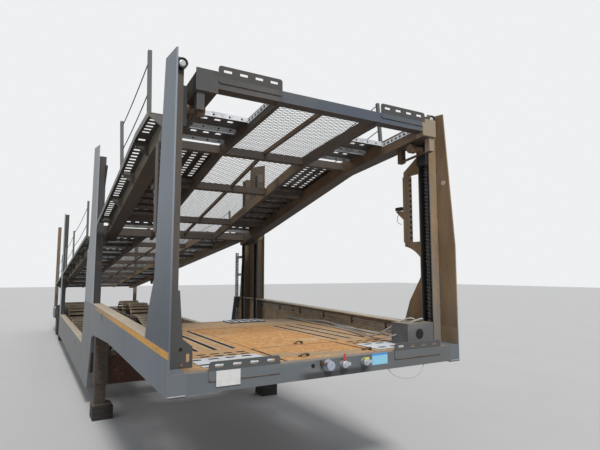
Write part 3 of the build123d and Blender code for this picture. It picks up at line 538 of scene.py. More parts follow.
def floor_plate(name):
    """Orange rusty floor: welded plates with dark seams, pale worn lanes, grey dust at the front, and painted
    shade on the walls of its holes and on its edges.
    """
    made = Surface(name)
    plate_edge, first_weld, last_weld = 0.410, 0.700, 2.180
    flakes = made.noise(30, 8, roughness=0.66)
    clouds = made.noise(2.6, 6)
    made.colour = colour_mix(flakes.clip(0.32, 0.68), (0.45, 0.205, 0.065), (0.76, 0.41, 0.150))
    made.over(clouds.clip(0.50, 0.74) * 0.65, (0.64, 0.48, 0.29))
    made.over(made.noise(6, 5, (7, 1, 1)).clip(0.52, 0.70) * 0.45, (0.50, 0.35, 0.19))
    lanes = made.off_middle.clip(0.42, 0.62) * (0.35 + 0.65 * made.noise(9, 5, (1, 5, 1)))
    made.over(lanes * 0.75, (0.39, 0.29, 0.185))
    front_dust = made.along.clip(0.75, 0.15) * made.noise(4.5, 6, (3, 1, 1)).clip(0.42, 0.62)
    made.over(front_dust * 0.8, (0.33, 0.27, 0.19))
    made.over(made.along.clip(2.10, 2.45) * (0.5 + 0.5 * clouds) * 0.7, (0.47, 0.39, 0.28))
    made.over(made.off_middle.clip(1.02, 1.14) * 0.6, (0.16, 0.105, 0.065))
    wobble = (made.noise(1.7, 3) - 0.5) * 0.020
    welds = made.along.near(first_weld + wobble * 0.3, 0.010) * (made.off_middle < plate_edge + 0.002)
    welds = welds + made.along.near(last_weld + wobble, 0.010)
    edge_welds = made.off_middle.near(plate_edge, 0.0045) * made.along.between(first_weld, last_weld)
    dark = (welds + edge_welds).at_most(1) * made.noise(8, 4).clip(0.20, 0.42)
    made.over(dark * 0.8, (0.075, 0.040, 0.022))
    floor_slots(made, plate_edge, first_weld)
    # Painted shade: faces not turned up, such as the walls of holes and slots, near black
    made.over(made.facing(UP).clip(0.6, 0.3) * 0.95, (0.020, 0.016, 0.014))
    made.over(made.noise(13, 7, roughness=0.7).clip(0.63, 0.72) * 0.5, (0.14, 0.065, 0.030))
    return made.finish(0.85, bump=flakes + clouds * 0.6, depth=0.003)


def clear_lens(name, base):
    """Moulded lens with fine ribs under a glossy skin."""
    made = Surface(name)
    ribs = made.noise(90, 2)
    made.colour = colour_mix(ribs * 0.3, base, shade(base, 0.6))
    made.shader.inputs["Coat Weight"].default_value = 0.6
    return made.finish(0.12, bump=ribs, depth=0.0006)


MATERIALS = {}
SLOT_OF = {}


def offer(slot, maker, name, *sizes, **more):
    """Make a finish, and note the record's slot that a new piece of it takes."""
    MATERIALS[name] = maker(name, *sizes, **more)
    SLOT_OF[name] = slot


offer("frame_paint", weathered_paint, "panel_paint", GREY_PAINT, 0.30, 0.5, later=side_panel)
offer("frame_paint", weathered_paint, "post_paint", GREY_POST, 0.25, 0.25, post_outside, post_inside)
offer("frame_paint", weathered_paint, "rim_paint", GREY_RIM, 0.6, 0.8)
offer("frame_paint", beam_paint, "beam_paint")
offer("frame_paint", deck_steel, "walk_steel", (0.150, 0.142, 0.125), (0.080, 0.072, 0.062),
      (0.020, 0.018, 0.016), rim=1.19)
offer("frame_paint", plain_dusty, "rail_green", (0.115, 0.125, 0.115), 0.6, 0.5)
offer("frame_paint", plain_dusty, "yellow_paint", (0.66, 0.60, 0.10), 0.5, 0.2)
offer("frame_paint", plain_dusty, "blank_white", (0.66, 0.65, 0.63), 0.45, 0.2)
offer("frame_paint", plain_dusty, "blank_blue", (0.27, 0.58, 0.74), 0.4, 0.15)
offer("frame_paint", plain_dusty, "band_blue", (0.05, 0.30, 0.66), 0.4, 0.15)
offer("rusty_steel", rusty_post, "post_rust")
offer("rusty_steel", deck_steel, "deck_brown", BROWN, BROWN_DARK, BROWN_UNDER, upper=True)
offer("rusty_steel", deck_steel, "track_tan", (0.62, 0.47, 0.31), (0.40, 0.28, 0.17),
      (0.05, 0.035, 0.025), 0.7)
offer("rusty_steel", rusty_steel, "leg_rust", (0.155, 0.105, 0.068), (0.065, 0.043, 0.030))
offer("rusty_steel", rusty_steel, "leg_steel", (0.085, 0.064, 0.048), (0.056, 0.042, 0.032), 0.3, 0.001, 0.15)
offer("rusty_steel", rusty_steel, "wall_rust", (0.130, 0.058, 0.036), (0.060, 0.028, 0.020))
offer("rusty_steel", floor_plate, "floor_plate")
offer("dark_steel", rusty_steel, "under_steel", (0.085, 0.060, 0.045), (0.028, 0.022, 0.018), 0.5, 0.002)
offer("galvanised", galvanised, "zinc_bright", 1.75, 0.30, shine=0.1)
offer("galvanised", galvanised, "zinc_dull", 0.95, 0.70, UNDER_BLACK)
offer("galvanised", galvanised, "zinc_plank", 1.65, 0.45, UNDER_BLACK, (1.25, 3.42))
offer("galvanised", galvanised, "zinc_rear", 1.20, 0.75, UNDER_BLACK)
offer("galvanised", dark_finish, "mesh_strand", (0.050, 0.047, 0.043), 0.55, depth=0.0005, metallic=0.2)
offer("galvanised", plain_dusty, "wire_pale", (0.52, 0.49, 0.45), 0.5, 0.3)
offer("galvanised", plain_dusty, "coupling_metal", (0.50, 0.52, 0.54), 0.4, 0.45, 0.4)
offer("black_steel", dark_finish, "thread_steel", (0.110, 0.105, 0.100), 0.35, depth=0.0005, metallic=0.3)
offer("black_steel", dark_finish, "black_grease", (0.016, 0.016, 0.017), 0.38, 0.25, 80, 0.0008)
# Black for painted shade: it stands for the dark inside holes and slots
offer("black_steel", dark_finish, "hole_black", (0.008, 0.007, 0.006), 0.9, 0.1)
offer("black_steel", nut_finish, "nut_black")
offer("tyre_rubber", dark_finish, "tyre_rubber", (0.022, 0.021, 0.020), 0.78, 0.75, 45)
offer("guard_plastic", dark_finish, "guard_plastic", (0.025, 0.025, 0.025), 0.6, 0.7, 25)
offer("block", timber, "timber")
offer("lamp_red", clear_lens, "red_lens", (0.42, 0.012, 0.010))
offer("lamp_red", clear_lens, "amber_lens", (0.70, 0.22, 0.015))
offer("lamp_red", clear_lens, "white_lens", (0.56, 0.58, 0.57))
offer("lamp_red", clear_lens, "cream_lens", (0.66, 0.56, 0.44))
offer("lamp_red", plain_dusty, "red_paint", (0.62, 0.06, 0.035), 0.45, 0.2)
offer("coupling_black", plain_dusty, "lid_grey", (0.36, 0.38, 0.47), 0.4, 0.3)
offer("bellows", plain_dusty, "cable_grey", (0.56, 0.53, 0.48), 0.65, 0.35)
offer("bellows", plain_dusty, "cable_black", (0.028, 0.028, 0.03), 0.55, 0.5)
offer("bellows", plain_dusty, "rope", (0.075, 0.085, 0.10), 0.8, 0.4)

# The nodes of the CAD model, by their finish
DRESSED = {
    "panel_paint": ("side_frame_left", "side_frame_right", "tail_panels"),
    "post_paint": ("front_post_right", "mid_post_right", "rear_post_left", "rear_post_right"),
    "beam_paint": ("foot_housing", "front_beam", "tail_beam", "underrun_bar"),
    "post_rust": ("front_post_left", "mid_post_left", "tail_posts"),
    "deck_brown": ("front_deck_frame", "front_mesh", "pivot_brackets", "rear_deck_frame", "rear_mesh"),
    "walk_steel": ("front_walkways", "rear_walkways"),
    "rail_green": ("front_rails", "rear_rails"),
    "zinc_bright": ("corner_plates",),
    "zinc_plank": ("front_deck_planks",),
    "zinc_rear": ("rear_deck_planks",),
    "zinc_dull": ("low_tracks", "step_ramps"),
    "track_tan": ("rear_tracks",),
    "floor_plate": ("neck_floor",),
    "wall_rust": ("step_wall",),
    "leg_rust": ("low_frame",),
    "leg_steel": ("landing_legs", "leg_brace"),
    "under_steel": ("axle_1", "axle_2", "coupler_plate", "kingpin", "neck_frame", "rear_frame", "suspension"),
    "nut_black": ("front_nuts", "rear_nuts"),
    "black_grease": ("lift_spindles", "work_lamps"),
    "guard_plastic": ("mudguards",),
    "timber": ("foot_blocks",),
    "red_lens": ("rear_lamps",),
    "coupling_metal": ("service_couplings",),
    "rim_paint": ("rims_1_left", "rims_1_right", "rims_2_left", "rims_2_right"),
    "tyre_rubber": ("air_springs", "tyres_1_left", "tyres_1_right", "tyres_2_left", "tyres_2_right"),
}

for finish_name, node_names in DRESSED.items():
    for node_name in node_names:
        nodes[node_name].data.materials.clear()
        nodes[node_name].data.materials.append(MATERIALS[finish_name])


class Growth:
    """A Geometry Nodes tree in the making. It runs once, and its result is kept as a plain mesh."""

    def __init__(self, name, **sizes):
        self.name = name
        self.sizes = sizes
        self.tree = bpy.data.node_groups.new(name, "GeometryNodeTree")
        self.inputs = {}
        for size in sizes:
            self.inputs[size] = self.tree.interface.new_socket(size, in_out="INPUT",
                                                               socket_type="NodeSocketFloat")
        self.tree.interface.new_socket("Geometry", in_out="OUTPUT", socket_type="NodeSocketGeometry")
        self.entry = self.tree.nodes.new("NodeGroupInput")

    def __getitem__(self, size):
        """The link of a named size, for arithmetic or another node."""
        return Socket(self.tree, self.entry.outputs[size])

    def node(self, kind, inputs=()):
        return Socket(self.tree).node(kind, inputs)

    def vector(self, x=0.0, y=0.0, z=0.0):
        return self.node("ShaderNodeCombineXYZ", {"X": x, "Y": y, "Z": z})

    def box(self, x, y, z):
        return self.node("GeometryNodeMeshCube", {"Size": self.vector(x, y, z)})

    def drum(self, sides, radius, depth, turn=(0, 0, 0)):
        upright = self.node("GeometryNodeMeshCylinder", {"Vertices": sides, "Radius": radius, "Depth": depth})
        return self.moved(upright, turn=turn)

    def row(self, count, start, step=(0, 0, 0)):
        return self.node("GeometryNodeMeshLine", {"Count": count, "Start Location": start, "Offset": step})

    def moved(self, shape, offset=(0, 0, 0), turn=(0, 0, 0)):
        return self.node("GeometryNodeTransform",
                         {"Geometry": shape, "Translation": offset, "Rotation": turn})

    def copies(self, shape, points, turn=(0, 0, 0), size=(1, 1, 1)):
        """Put a copy of a shape on each point or each place of a table; a turn may be a link."""
        if not isinstance(points, Socket):
            points = self.join([self.row(1, place(*spot)) for spot in points])
        if isinstance(turn, Socket):
            turn = self.node("FunctionNodeEulerToRotation", {"Euler": turn})
        spread = self.node("GeometryNodeInstanceOnPoints",
                           {"Points": points, "Instance": shape, "Rotation": turn, "Scale": size})
        return self.node("GeometryNodeRealizeInstances", {"Geometry": spread})

    def ring(self, shape, count, centre):
        """Copies of a shape, made in its place about the origin, turned evenly about the X axis."""
        step = self.node("GeometryNodeInputIndex") * (2 * pi / count)
        return self.copies(shape, self.row(count, centre), self.vector(step))

    def strand(self, line, width, height):
        """A flat or square bar along a curve."""
        section = self.node("GeometryNodeCurvePrimitiveQuadrilateral", {"Width": width, "Height": height})
        return self.node("GeometryNodeCurveToMesh",
                         {"Curve": line, "Profile Curve": section, "Fill Caps": True})

    def join(self, shapes):
        joined = self.tree.nodes.new("GeometryNodeJoinGeometry")
        for shape in reversed(shapes):
            self.tree.links.new(shape.link, joined.inputs["Geometry"])
        return Socket(self.tree, joined.outputs[0])

    def finish(self, shape, finish, body="chassis", node=None):
        """Run the tree, keep its result as a plain mesh, and let it move with a body of the trailer."""
        real = self.node("GeometryNodeRealizeInstances", {"Geometry": shape})
        painted = self.node("GeometryNodeSetMaterial", {"Geometry": real, "Material": MATERIALS[finish]})
        out = self.tree.nodes.new("NodeGroupOutput")
        self.tree.links.new(painted.link, out.inputs["Geometry"])
        holder = bpy.data.objects.new("growing", bpy.data.meshes.new("growing"))
        scene.collection.objects.link(holder)
        grown = holder.modifiers.new("growth", "NODES")
        grown.node_group = self.tree
        for size, value in self.sizes.items():
            grown[self.inputs[size].identifier] = value
        ready = holder.evaluated_get(bpy.context.evaluated_depsgraph_get())
        mesh = bpy.data.meshes.new_from_object(ready)
        holder.modifiers.remove(grown)
        bpy.data.objects.remove(holder)
        set_out(self.name, mesh, finish, body, node)


def set_out(name, mesh, finish, body="chassis", node=None):
    """Make a finished piece of a mesh, on its body, and in place of a CAD node if one is named."""
    mesh.name = name
    mesh.materials.clear()
    mesh.materials.append(MATERIALS[finish])
    piece = bpy.data.objects.new(name, mesh)
    scene.collection.objects.link(piece)
    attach(piece, body)
    if node:
        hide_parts(node)
    SLOT_OF[finish]


def tube(name, routes, radius, finish, body="chassis"):
    """Bend round bars or cables along short routes of given places."""
    line = bpy.data.curves.new(name, "CURVE")
    line.dimensions = "3D"
    line.bevel_depth = radius
    line.bevel_resolution = 2
    line.resolution_u = 6
    line.use_fill_caps = True
    for route in routes:
        spline = line.splines.new("NURBS")
        spline.points.add(len(route) - 1)
        for point, spot in zip(spline.points, route):
            point.co = (*place(*spot), 1)
        spline.order_u = 3
        spline.use_endpoint_u = True
    bent = bpy.data.objects.new(name, line)
    scene.collection.objects.link(bent)
    mesh = bpy.data.meshes.new_from_object(bent.evaluated_get(bpy.context.evaluated_depsgraph_get()))
    bpy.data.objects.remove(bent)
    set_out(name, mesh, finish, body)


def turned(name, centres, profile, finish, node=None):
    """Turn round fittings on axes along the trailer; a profile has (distance ahead, radius) of each ring."""
    sides = 28
    angles = [2 * pi * turn / sides for turn in range(sides)]
    made = bmesh.new()
    for across, level in centres:
        rings = []
        for ahead, radius in profile:
            spots = [place(across + radius * cos(angle), -ahead, level + radius * sin(angle))
                     for angle in angles]
            rings.append([made.verts.new(spot) for spot in spots])
        for lower, upper in zip(rings, rings[1:]):
            for turn in range(sides):
                after = (turn + 1) % sides
                made.faces.new((lower[turn], lower[after], upper[after], upper[turn]))
    bmesh.ops.remove_doubles(made, verts=made.verts[:], dist=0.00005)
    bmesh.ops.recalc_face_normals(made, faces=made.faces[:])
    mesh = bpy.data.meshes.new(name)
    made.to_mesh(mesh)
    made.free()
    set_out(name, mesh, finish, node=node)


def boxes(name, blocks, finish, edge=0.0, paired=False):
    """Plates and blocks with worn edges, each from two opposite corners; paired ones are on both sides."""
    made = bmesh.new()
    if paired:
        blocks = [[(way * across, distance, height) for across, distance, height in block]
                  for way in (1, -1) for block in blocks]
    for block in blocks:
        low, high = zip(*(sorted(ends) for ends in zip(*(place(*corner) for corner in block))))
        corners = bmesh.ops.create_cube(made, size=1)["verts"]
        bmesh.ops.scale(made, vec=[top - bottom for bottom, top in zip(low, high)], verts=corners)
        bmesh.ops.translate(made, vec=[(top + bottom) / 2 for bottom, top in zip(low, high)], verts=corners)
    if edge:
        bmesh.ops.bevel(made, geom=made.edges[:], offset=edge, segments=2, affect="EDGES", profile=0.5)
    mesh = bpy.data.meshes.new(name)
    made.to_mesh(mesh)
    made.free()
    set_out(name, mesh, finish)


def height_on(line, distance):
    """Height of a deck line so far behind the front face."""
    for start, end in zip(line, line[1:]):
        if distance <= end[0]:
            break
    return start[1] + (distance - start[0]) * (end[1] - start[1]) / (end[0] - start[0])


def slope_on(line, distance):
    """Slope of a deck line at a place, in radians."""
    return atan2(height_on(line, distance + 0.01) - height_on(line, distance - 0.01), 0.02)


def expanded_mesh(name, line, body, node):
    """Diamond mesh between the stringers: zigzag strands that touch at their knuckles."""
    half_track, knuckle, pitch, sunk = 0.450, 0.036, 0.020, 0.006
    growth = Growth(name, half=half_track, knuckle=knuckle, pitch=pitch, wide=0.0031, thick=0.0022)
    levels = []
    for (first, high), (last, low) in zip(line, line[1:]):
        run = ((last - first) ** 2 + (high - low) ** 2) ** 0.5
        along = growth.row(round(2 * half_track / knuckle) + 1, growth.vector(growth["half"] * -1),
                           growth.vector(growth["knuckle"]))
        odd = growth.node("GeometryNodeInputIndex").math("MODULO", 2)
        zigzag = growth.vector(0.0, (odd - 0.5) * growth["pitch"])
        bent = growth.node("GeometryNodeSetPosition", {"Geometry": along, "Offset": zigzag})
        strand = growth.strand(growth.node("GeometryNodeMeshToCurve", {"Mesh": bent}), growth["thick"],
                               growth["wide"])
        rows = growth.row(int(run / pitch), (0, 0, 0), growth.vector(0.0, growth["pitch"]))
        flipped = growth.copies(strand, rows, growth.vector(odd * pi))
        slope = atan2(low - high, last - first)
        levels.append(growth.moved(flipped, place(0, first, high - sunk), (slope, 0, 0)))
    growth.finish(growth.join(levels), "mesh_strand", body, node)


def spindle_threads():
    """The square threads of the lift spindles, over the plain bars of the CAD model."""
    lead = 0.034
    growth = Growth("spindle_threads", radius=SPINDLE_RADIUS + 0.002, lead=lead, depth=0.0070)
    turns = []
    for centre, low, high in SPINDLES:
        count = int((high - low) / lead)
        spiral = growth.node("GeometryNodeCurveSpiral",
                             {"Resolution": 10, "Rotations": float(count), "Start Radius": growth["radius"],
                              "End Radius": growth["radius"], "Height": growth["lead"] * count})
        thread = growth.strand(spiral, growth["depth"], growth["lead"] * 0.45)
        turns += [growth.moved(thread, place(across, centre, low)) for across in (-SPINDLE_X, SPINDLE_X)]
    growth.finish(growth.join(turns), "thread_steel")


def wheel_middle(number, side):
    """Middle of a twin wheel's axle line, and its radius."""
    low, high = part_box(f"tyres_{number}_{side}")
    return (0.0, (low.y + high.y) / 2, (low.z + high.z) / 2), (high.z - low.z) / 2


def tyre_treads(number, side, sign):
    """Blocks of the road tread and its leaning shoulders, round both tyres of one twin wheel."""
    centre, radius = wheel_middle(number, side)
    row_gap, block_sunk, count = 0.066, 0.0035, 56
    shoulder, shoulder_sunk, lean = 0.106, 0.016, 0.9
    growth = Growth(f"treads_{number}_{side}", wide=0.030, long=0.034, thick=0.009)
    rings = []
    for tyre in TYRE_MIDDLES:
        block = growth.box(growth["wide"], growth["long"], growth["thick"])
        rows = [growth.moved(block, (sign * tyre + across, 0, radius - block_sunk))
                for across in (-row_gap, 0.0, row_gap)]
        rows += [growth.moved(block, (sign * tyre + way * shoulder, 0, radius - shoulder_sunk),
                              (0, way * lean, 0)) for way in (-1, 1)]
        rings.append(growth.ring(growth.join(rows), count, centre))
    growth.finish(growth.join(rings), "tyre_rubber", f"wheel_{number}_{side}")


def wheel_nuts(number, side, sign):
    """Ten nuts on their studs round the outer disc, and the bolts of the hub cap."""
    centre, _ = wheel_middle(number, side)
    stud_circle, cap_circle = 0.1675, 0.085
    nut_middle, stud_middle, cap_middle = 1.089, 1.095, 1.214
    growth = Growth(f"wheel_nuts_{number}_{side}", nut=0.017, stud=0.010, cap=0.009)
    nut = growth.drum(6, growth["nut"], 0.034, CROSSWISE)
    stud = growth.drum(10, growth["stud"], 0.050, CROSSWISE)
    cap = growth.drum(6, growth["cap"], 0.010, CROSSWISE)
    fastened = growth.join([growth.moved(nut, (sign * nut_middle, 0, stud_circle)),
                            growth.moved(stud, (sign * stud_middle, 0, stud_circle))])
    capped = growth.moved(cap, (sign * cap_middle, 0, cap_circle))
    rings = [growth.ring(fastened, 10, centre), growth.ring(capped, 8, centre)]
    growth.finish(growth.join(rings), "leg_rust", f"wheel_{number}_{side}")


def pin_holes(name, count, lowest, radius, pitch, depth):
    """Black discs up the pinning bars of a pair of posts, painted shade for their holes, from the lowest one
    on the left.
    """
    growth = Growth(name, radius=radius, pitch=pitch)
    hole = growth.drum(12, growth["radius"], depth, LENGTHWISE)
    rows = [growth.copies(hole, growth.row(count, place(*spot), growth.vector(z=growth["pitch"])))
            for spot in both_sides([lowest])]
    growth.finish(growth.join(rows), "hole_black")


def plank_holes():
    """Small black discs, painted shade for round holes, along the turned-down edges of the front deck's
    planks.
    """
    lips = (0.630, 0.892, 0.930, 1.182, 1.390, 2.182, 2.285, 2.472, 2.495, 2.682, 2.705, 2.892, 2.915, 3.102)
    half_lip, drop = 0.004, 0.027
    growth = Growth("plank_holes", radius=0.009, depth=0.0092)
    hole = growth.drum(10, growth["radius"], growth["depth"], LENGTHWISE)
    places = [(across, lip + half_lip, height_on(FRONT_LINE, lip + half_lip) - drop)
              for lip in lips for across in (0.545, 0.655, 0.794, 0.899)]
    growth.finish(growth.copies(hole, both_sides(places)), "hole_black", "front_deck")


def frame_bolts():
    """Hexagon bolt heads of the neck bracket, the column feet and the landing legs."""
    growth = Growth("frame_bolts", radius=0.014, head=0.010)
    bracket = [(-1.140, 0.180, 1.203)]
    feet = [(1.262, centre + step, level) for step in (-0.045, 0.045)
            for centre, level in ((4.06, 1.49), (4.56, 1.49), (10.87, 0.83))]
    legs = [(1.185 + step, 3.518, level) for step in (-0.05, 0.05) for level in (0.52, 0.66, 0.90)]
    heads = [growth.copies(growth.drum(6, growth["radius"], growth["head"], turn), places)
             for turn, places in ((LENGTHWISE, bracket + both_sides(legs)), (CROSSWISE, both_sides(feet)))]
    growth.finish(growth.join(heads), "leg_rust")


def lamp_glass():
    """The round lenses of the two work lamps, slightly domed, in their rims."""
    growth = Growth("lamp_glass", radius=0.0235)
    ball = growth.node("GeometryNodeMeshUVSphere", {"Segments": 24, "Rings": 12, "Radius": growth["radius"]})
    domes = growth.copies(growth.moved(ball, turn=LENGTHWISE), both_sides([(1.190, 0.1615, 3.252)]),
                          size=growth.vector(1.0, 0.18, 1.0))
    growth.finish(domes, "white_lens")


def blank_plates():
    """The white plate, and the blue one with its darker band, on the front beam."""
    boxes("plate_white", [((-0.966, -0.0095, 1.082), (-0.800, -0.0060, 1.181))], "blank_white", 0.001)
    boxes("plate_blue", [((0.302, -0.0020, 1.095), (0.456, 0, 1.165))], "blank_blue")
    boxes("plate_band", [((0.302, -0.0020, 1.165), (0.456, 0, 1.180))], "band_blue")


def service_couplings():
    """The electric socket with its hinged lid, and the two air couplings with claws, flag and cap."""
    socket = (-0.112, 1.136)
    air_couplings = ((0.019, 1.136), (0.215, 1.136))
    shell = ((0.0, 0.0), (0.0, 0.040), (0.010, 0.042), (0.013, 0.034), (0.042, 0.032), (0.044, 0.035),
             (0.048, 0.035), (0.048, 0.0))
    lid = ((0.048, 0.0), (0.048, 0.034), (0.054, 0.033), (0.0575, 0.024), (0.0575, 0.0))
    head = ((0.0, 0.0), (0.0, 0.024), (0.008, 0.024), (0.008, 0.016), (0.030, 0.016), (0.034, 0.027),
            (0.050, 0.027), (0.054, 0.022), (0.054, 0.012), (0.0595, 0.010), (0.0595, 0.0))
    claws = [((across + 0.014, -0.052, level - 0.012), (across + 0.046, -0.038, level + 0.012))
             for across, level in air_couplings]
    boxes("coupling_flag", [((0.004, -0.052, 1.150), (0.020, -0.040, 1.214))], "red_paint", 0.003)
    boxes("coupling_cap", [((0.190, -0.0545, 1.154), (0.236, -0.032, 1.168))], "yellow_paint", 0.004)
    turned("socket", [socket], shell, "lid_grey")
    turned("socket_lid", [socket], lid, "lid_grey")
    boxes("socket_hinge", [((-0.172, -0.046, 1.150), (-0.140, -0.030, 1.164)),
                           ((-0.176, -0.030, 1.138), (-0.158, 0, 1.176))], "leg_rust", 0.003)
    turned("air_couplings", air_couplings, head, "coupling_metal", node="service_couplings")
    boxes("coupling_claws", claws, "coupling_metal", 0.003)


def beam_trim():
    """The ledges at the front beam's lower corners, and the weld beads under its stop plates."""
    boxes("front_ledges", [((1.165, -0.010, 1.050), (1.275, 0, 1.057))], "zinc_dull", 0.002, paired=True)
    beads = [[(low, -0.003, 1.119), ((low + high) / 2, -0.003, 1.118), (high, -0.003, 1.119)]
             for low, high in ((-1.015, -0.504), (0.530, 1.041))]
    tube("stop_welds", beads, 0.0045, "leg_rust")


def face_holes():
    """Black discs in the beam's face, in the foot housing and in the neck bracket, painted shade for holes.
    """
    growth = Growth("face_holes", thick=0.003)
    holes = [growth.moved(growth.drum(sides, radius, growth["thick"], turn), place(*spot))
             for sides, radius, turn, spot in ((14, 0.016, LENGTHWISE, (-0.235, -0.0006, 1.141)),
                                               (24, 0.044, LENGTHWISE, (0.935, 0.1295, 1.279)),
                                               (24, 0.044, (0, 0, 0), (1.000, 0.235, 1.3705)),
                                               (14, 0.013, LENGTHWISE, (-1.146, 0.1815, 1.304)))]
    growth.finish(growth.join(holes), "hole_black")


def wire_loops():
    """Stiff wire loops left under the beam, at the foot housing and on the shelves."""
    under = [(0.480, 0.03, 1.052), (0.505, 0.01, 1.005), (0.590, -0.01, 0.965), (0.720, -0.01, 0.955),
             (0.820, 0, 0.985), (0.868, 0.02, 1.052)]
    tube("beam_wire", [under], 0.0035, "wire_pale")
    housing = [
        [(1.000, 0.235, 1.345), (0.975, 0.210, 1.410), (0.900, 0.300, 1.395), (0.780, 0.520, 1.230),
         (0.860, 0.800, 1.190), (1.020, 1.300, 1.188), (1.090, 2.000, 1.188), (1.130, 2.880, 1.192)],
        [(1.020, 0.240, 1.345), (1.060, 0.190, 1.400), (0.960, 0.160, 1.405), (0.800, 0.420, 1.260),
         (0.840, 0.760, 1.192), (0.980, 1.200, 1.190), (1.060, 1.900, 1.190), (1.120, 2.880, 1.196)],
        [(0.935, 0.150, 1.290), (0.820, 0.200, 1.300), (0.770, 0.420, 1.210), (0.880, 0.700, 1.188),
         (1.060, 1.150, 1.188), (1.120, 1.700, 1.188)]]
    tube("housing_wires", housing, 0.0065, "wire_pale")
    shelf = [(1.232, 0.640, 2.420), (1.232, 0.700, 2.400), (1.230, 0.712, 2.360), (1.230, 0.700, 2.310),
             (1.232, 0.650, 2.300)]
    tube("shelf_wire", [shelf, [(-across, distance, height) for across, distance, height in shelf]], 0.003,
         "wire_pale")
    boxes("shelf_blocks", [((1.208, 0.625, 2.4415), (1.256, 0.715, 2.475))], "under_steel", 0.004,
          paired=True)


def side_cables():
    """Cables and air lines along the inner face of the left panel, in their clips."""
    wall = 1.258
    on_wall = ((4.10, 1.330), (3.30, 1.325), (2.53, 1.312), (1.78, 1.300), (0.88, 1.268), (0.42, 1.250))
    runs = [[(wall, distance, level - drop) for distance, level in on_wall] for drop in (0.0, 0.022, 0.058)]
    tube("panel_cables", runs, 0.0065, "cable_grey")
    low = [(1.135, 3.0, 1.205), (1.14, 2.4, 1.192), (1.12, 1.92, 1.230), (1.13, 1.60, 1.192),
           (1.12, 1.20, 1.192), (1.13, 0.60, 1.192)]
    droop = [(wall - 0.01, 2.10, 1.26), (1.22, 1.85, 1.215), (1.17, 1.50, 1.196), (1.10, 1.20, 1.192),
             (1.06, 0.80, 1.190)]
    tube("floor_cables", [low, droop], 0.0080, "cable_grey")
    clipped = ((0.95, 1.270), (1.55, 1.292), (2.15, 1.306), (2.75, 1.316), (3.35, 1.326), (3.95, 1.329))
    clips = [((1.246, distance - 0.010, level - 0.068), (1.263, distance + 0.010, level + 0.012))
             for distance, level in clipped]
    boxes("cable_clips", clips, "leg_rust", 0.002)


def lashing_rings():
    """Three lashing rings leaning on the neck floor, each held by two eyes."""
    # Place across, distance behind the front face and lean of each ring
    ring_places = ((0.071, 0.742, 0.010), (0.388, 0.174, 0.022), (-0.205, 0.180, 0.020))
    foot, wide = 0.034, 0.038
    rings, eyes = [], []
    for across, distance, lean in ring_places:
        rings.append([(across - foot, distance, NECK_DECK + 0.004),
                      (across - wide, distance - lean, NECK_DECK + 0.016),
                      (across, distance - 1.6 * lean, NECK_DECK + 0.026),
                      (across + wide, distance - lean, NECK_DECK + 0.016),
                      (across + foot, distance, NECK_DECK + 0.004)])
        eyes += [((across + step - 0.012, distance - 0.010, NECK_DECK),
                  (across + step + 0.012, distance + 0.012, NECK_DECK + 0.012)) for step in (-foot, foot)]
    tube("floor_rings", rings, 0.006, "leg_rust")
    boxes("ring_eyes", eyes, "leg_rust", 0.003)


def floor_fittings():
    """Black sheets as painted shade in the corners, the loose slotted plate and the kerb at the rear edge of
    the neck floor.
    """
    # Painted shade: thin black sheets on the floor's corners
    boxes("corner_voids", [((0.515, 0.165, NECK_DECK), (0.995, 0.430, NECK_DECK + 0.0012))], "hole_black",
          paired=True)
    left, right, first, last = 0.17, 0.65, 2.60, 2.885
    low = NECK_DECK + 0.001
    slats = [((left, first, low), (right, first + 0.03, low + 0.015)),
             ((left, last - 0.03, low), (right, last, low + 0.015))]
    slats += [((left + step * 0.088, first, low), (left + step * 0.088 + 0.04, last, low + 0.013))
              for step in range(6)]
    boxes("loose_plate", slats, "zinc_bright", 0.002)
    boxes("floor_kerb", [((-1.150, 2.868, NECK_DECK), (1.150, 2.898, NECK_DECK + 0.004))], "track_tan", 0.001)


def panel_slots():
    """Raised rims of the small slots in the side panels, and black backs in them as painted shade."""
    wide, high, rim = 0.022, 0.048, 0.006
    rims, backs = [], []
    for distance, level in ((2.960, 1.295), (6.170, 0.612), (9.200, 0.605)):
        for first, last, bottom, top in ((-wide, rim - wide, -high, high), (wide - rim, wide, -high, high),
                                         (-wide, wide, -high, rim - high), (-wide, wide, high - rim, high)):
            rims.append(((1.2615, distance + first, level + bottom), (1.2755, distance + last, level + top)))
        backs.append(((1.2640, distance - 0.017, level - 0.043), (1.2705, distance + 0.017, level + 0.043)))
    boxes("slot_rims", rims, "under_steel", 0.0008, paired=True)
    boxes("slot_backs", backs, "hole_black", paired=True)


def post_fittings():
    """The reflector of the left front post, and the weld seams down both front posts."""
    growth = Growth("post_reflector", radius=0.021)
    disc = growth.moved(growth.drum(28, growth["radius"], 0.008, CROSSWISE), place(1.2600, 0.110, 2.640))
    growth.finish(disc, "cream_lens")
    seams = [[(across, distance, height) for height in (1.19, 2.2, top)]
             for across in (-1.2625, 1.2625) for distance, top in ((0.189, 3.22), (0.337, 2.70))]
    tube("post_welds", seams, 0.0035, "leg_rust")


def column_feet():
    """The mid columns' lower ends, inside the channels of the side frames."""
    low, high = 0.760, 1.386
    inner, outer, wall, half = 1.171, 1.262, 0.010, 0.073
    cheeks, greasy = [], []
    for centre in (4.060, 4.560):
        cheeks += [((inner, centre - half, low), (outer, centre - half + wall, high)),
                   ((inner, centre + half - wall, low), (outer, centre + half, high))]
        greasy += [((1.250, centre - half + wall, low), (outer, centre + half - wall, high)),
                   ((1.190, centre - 0.024, low), (1.235, centre + 0.024, high))]
    boxes("column_cheeks", cheeks, "post_rust", 0.002, paired=True)
    boxes("column_backs", greasy, "black_grease", 0.002, paired=True)


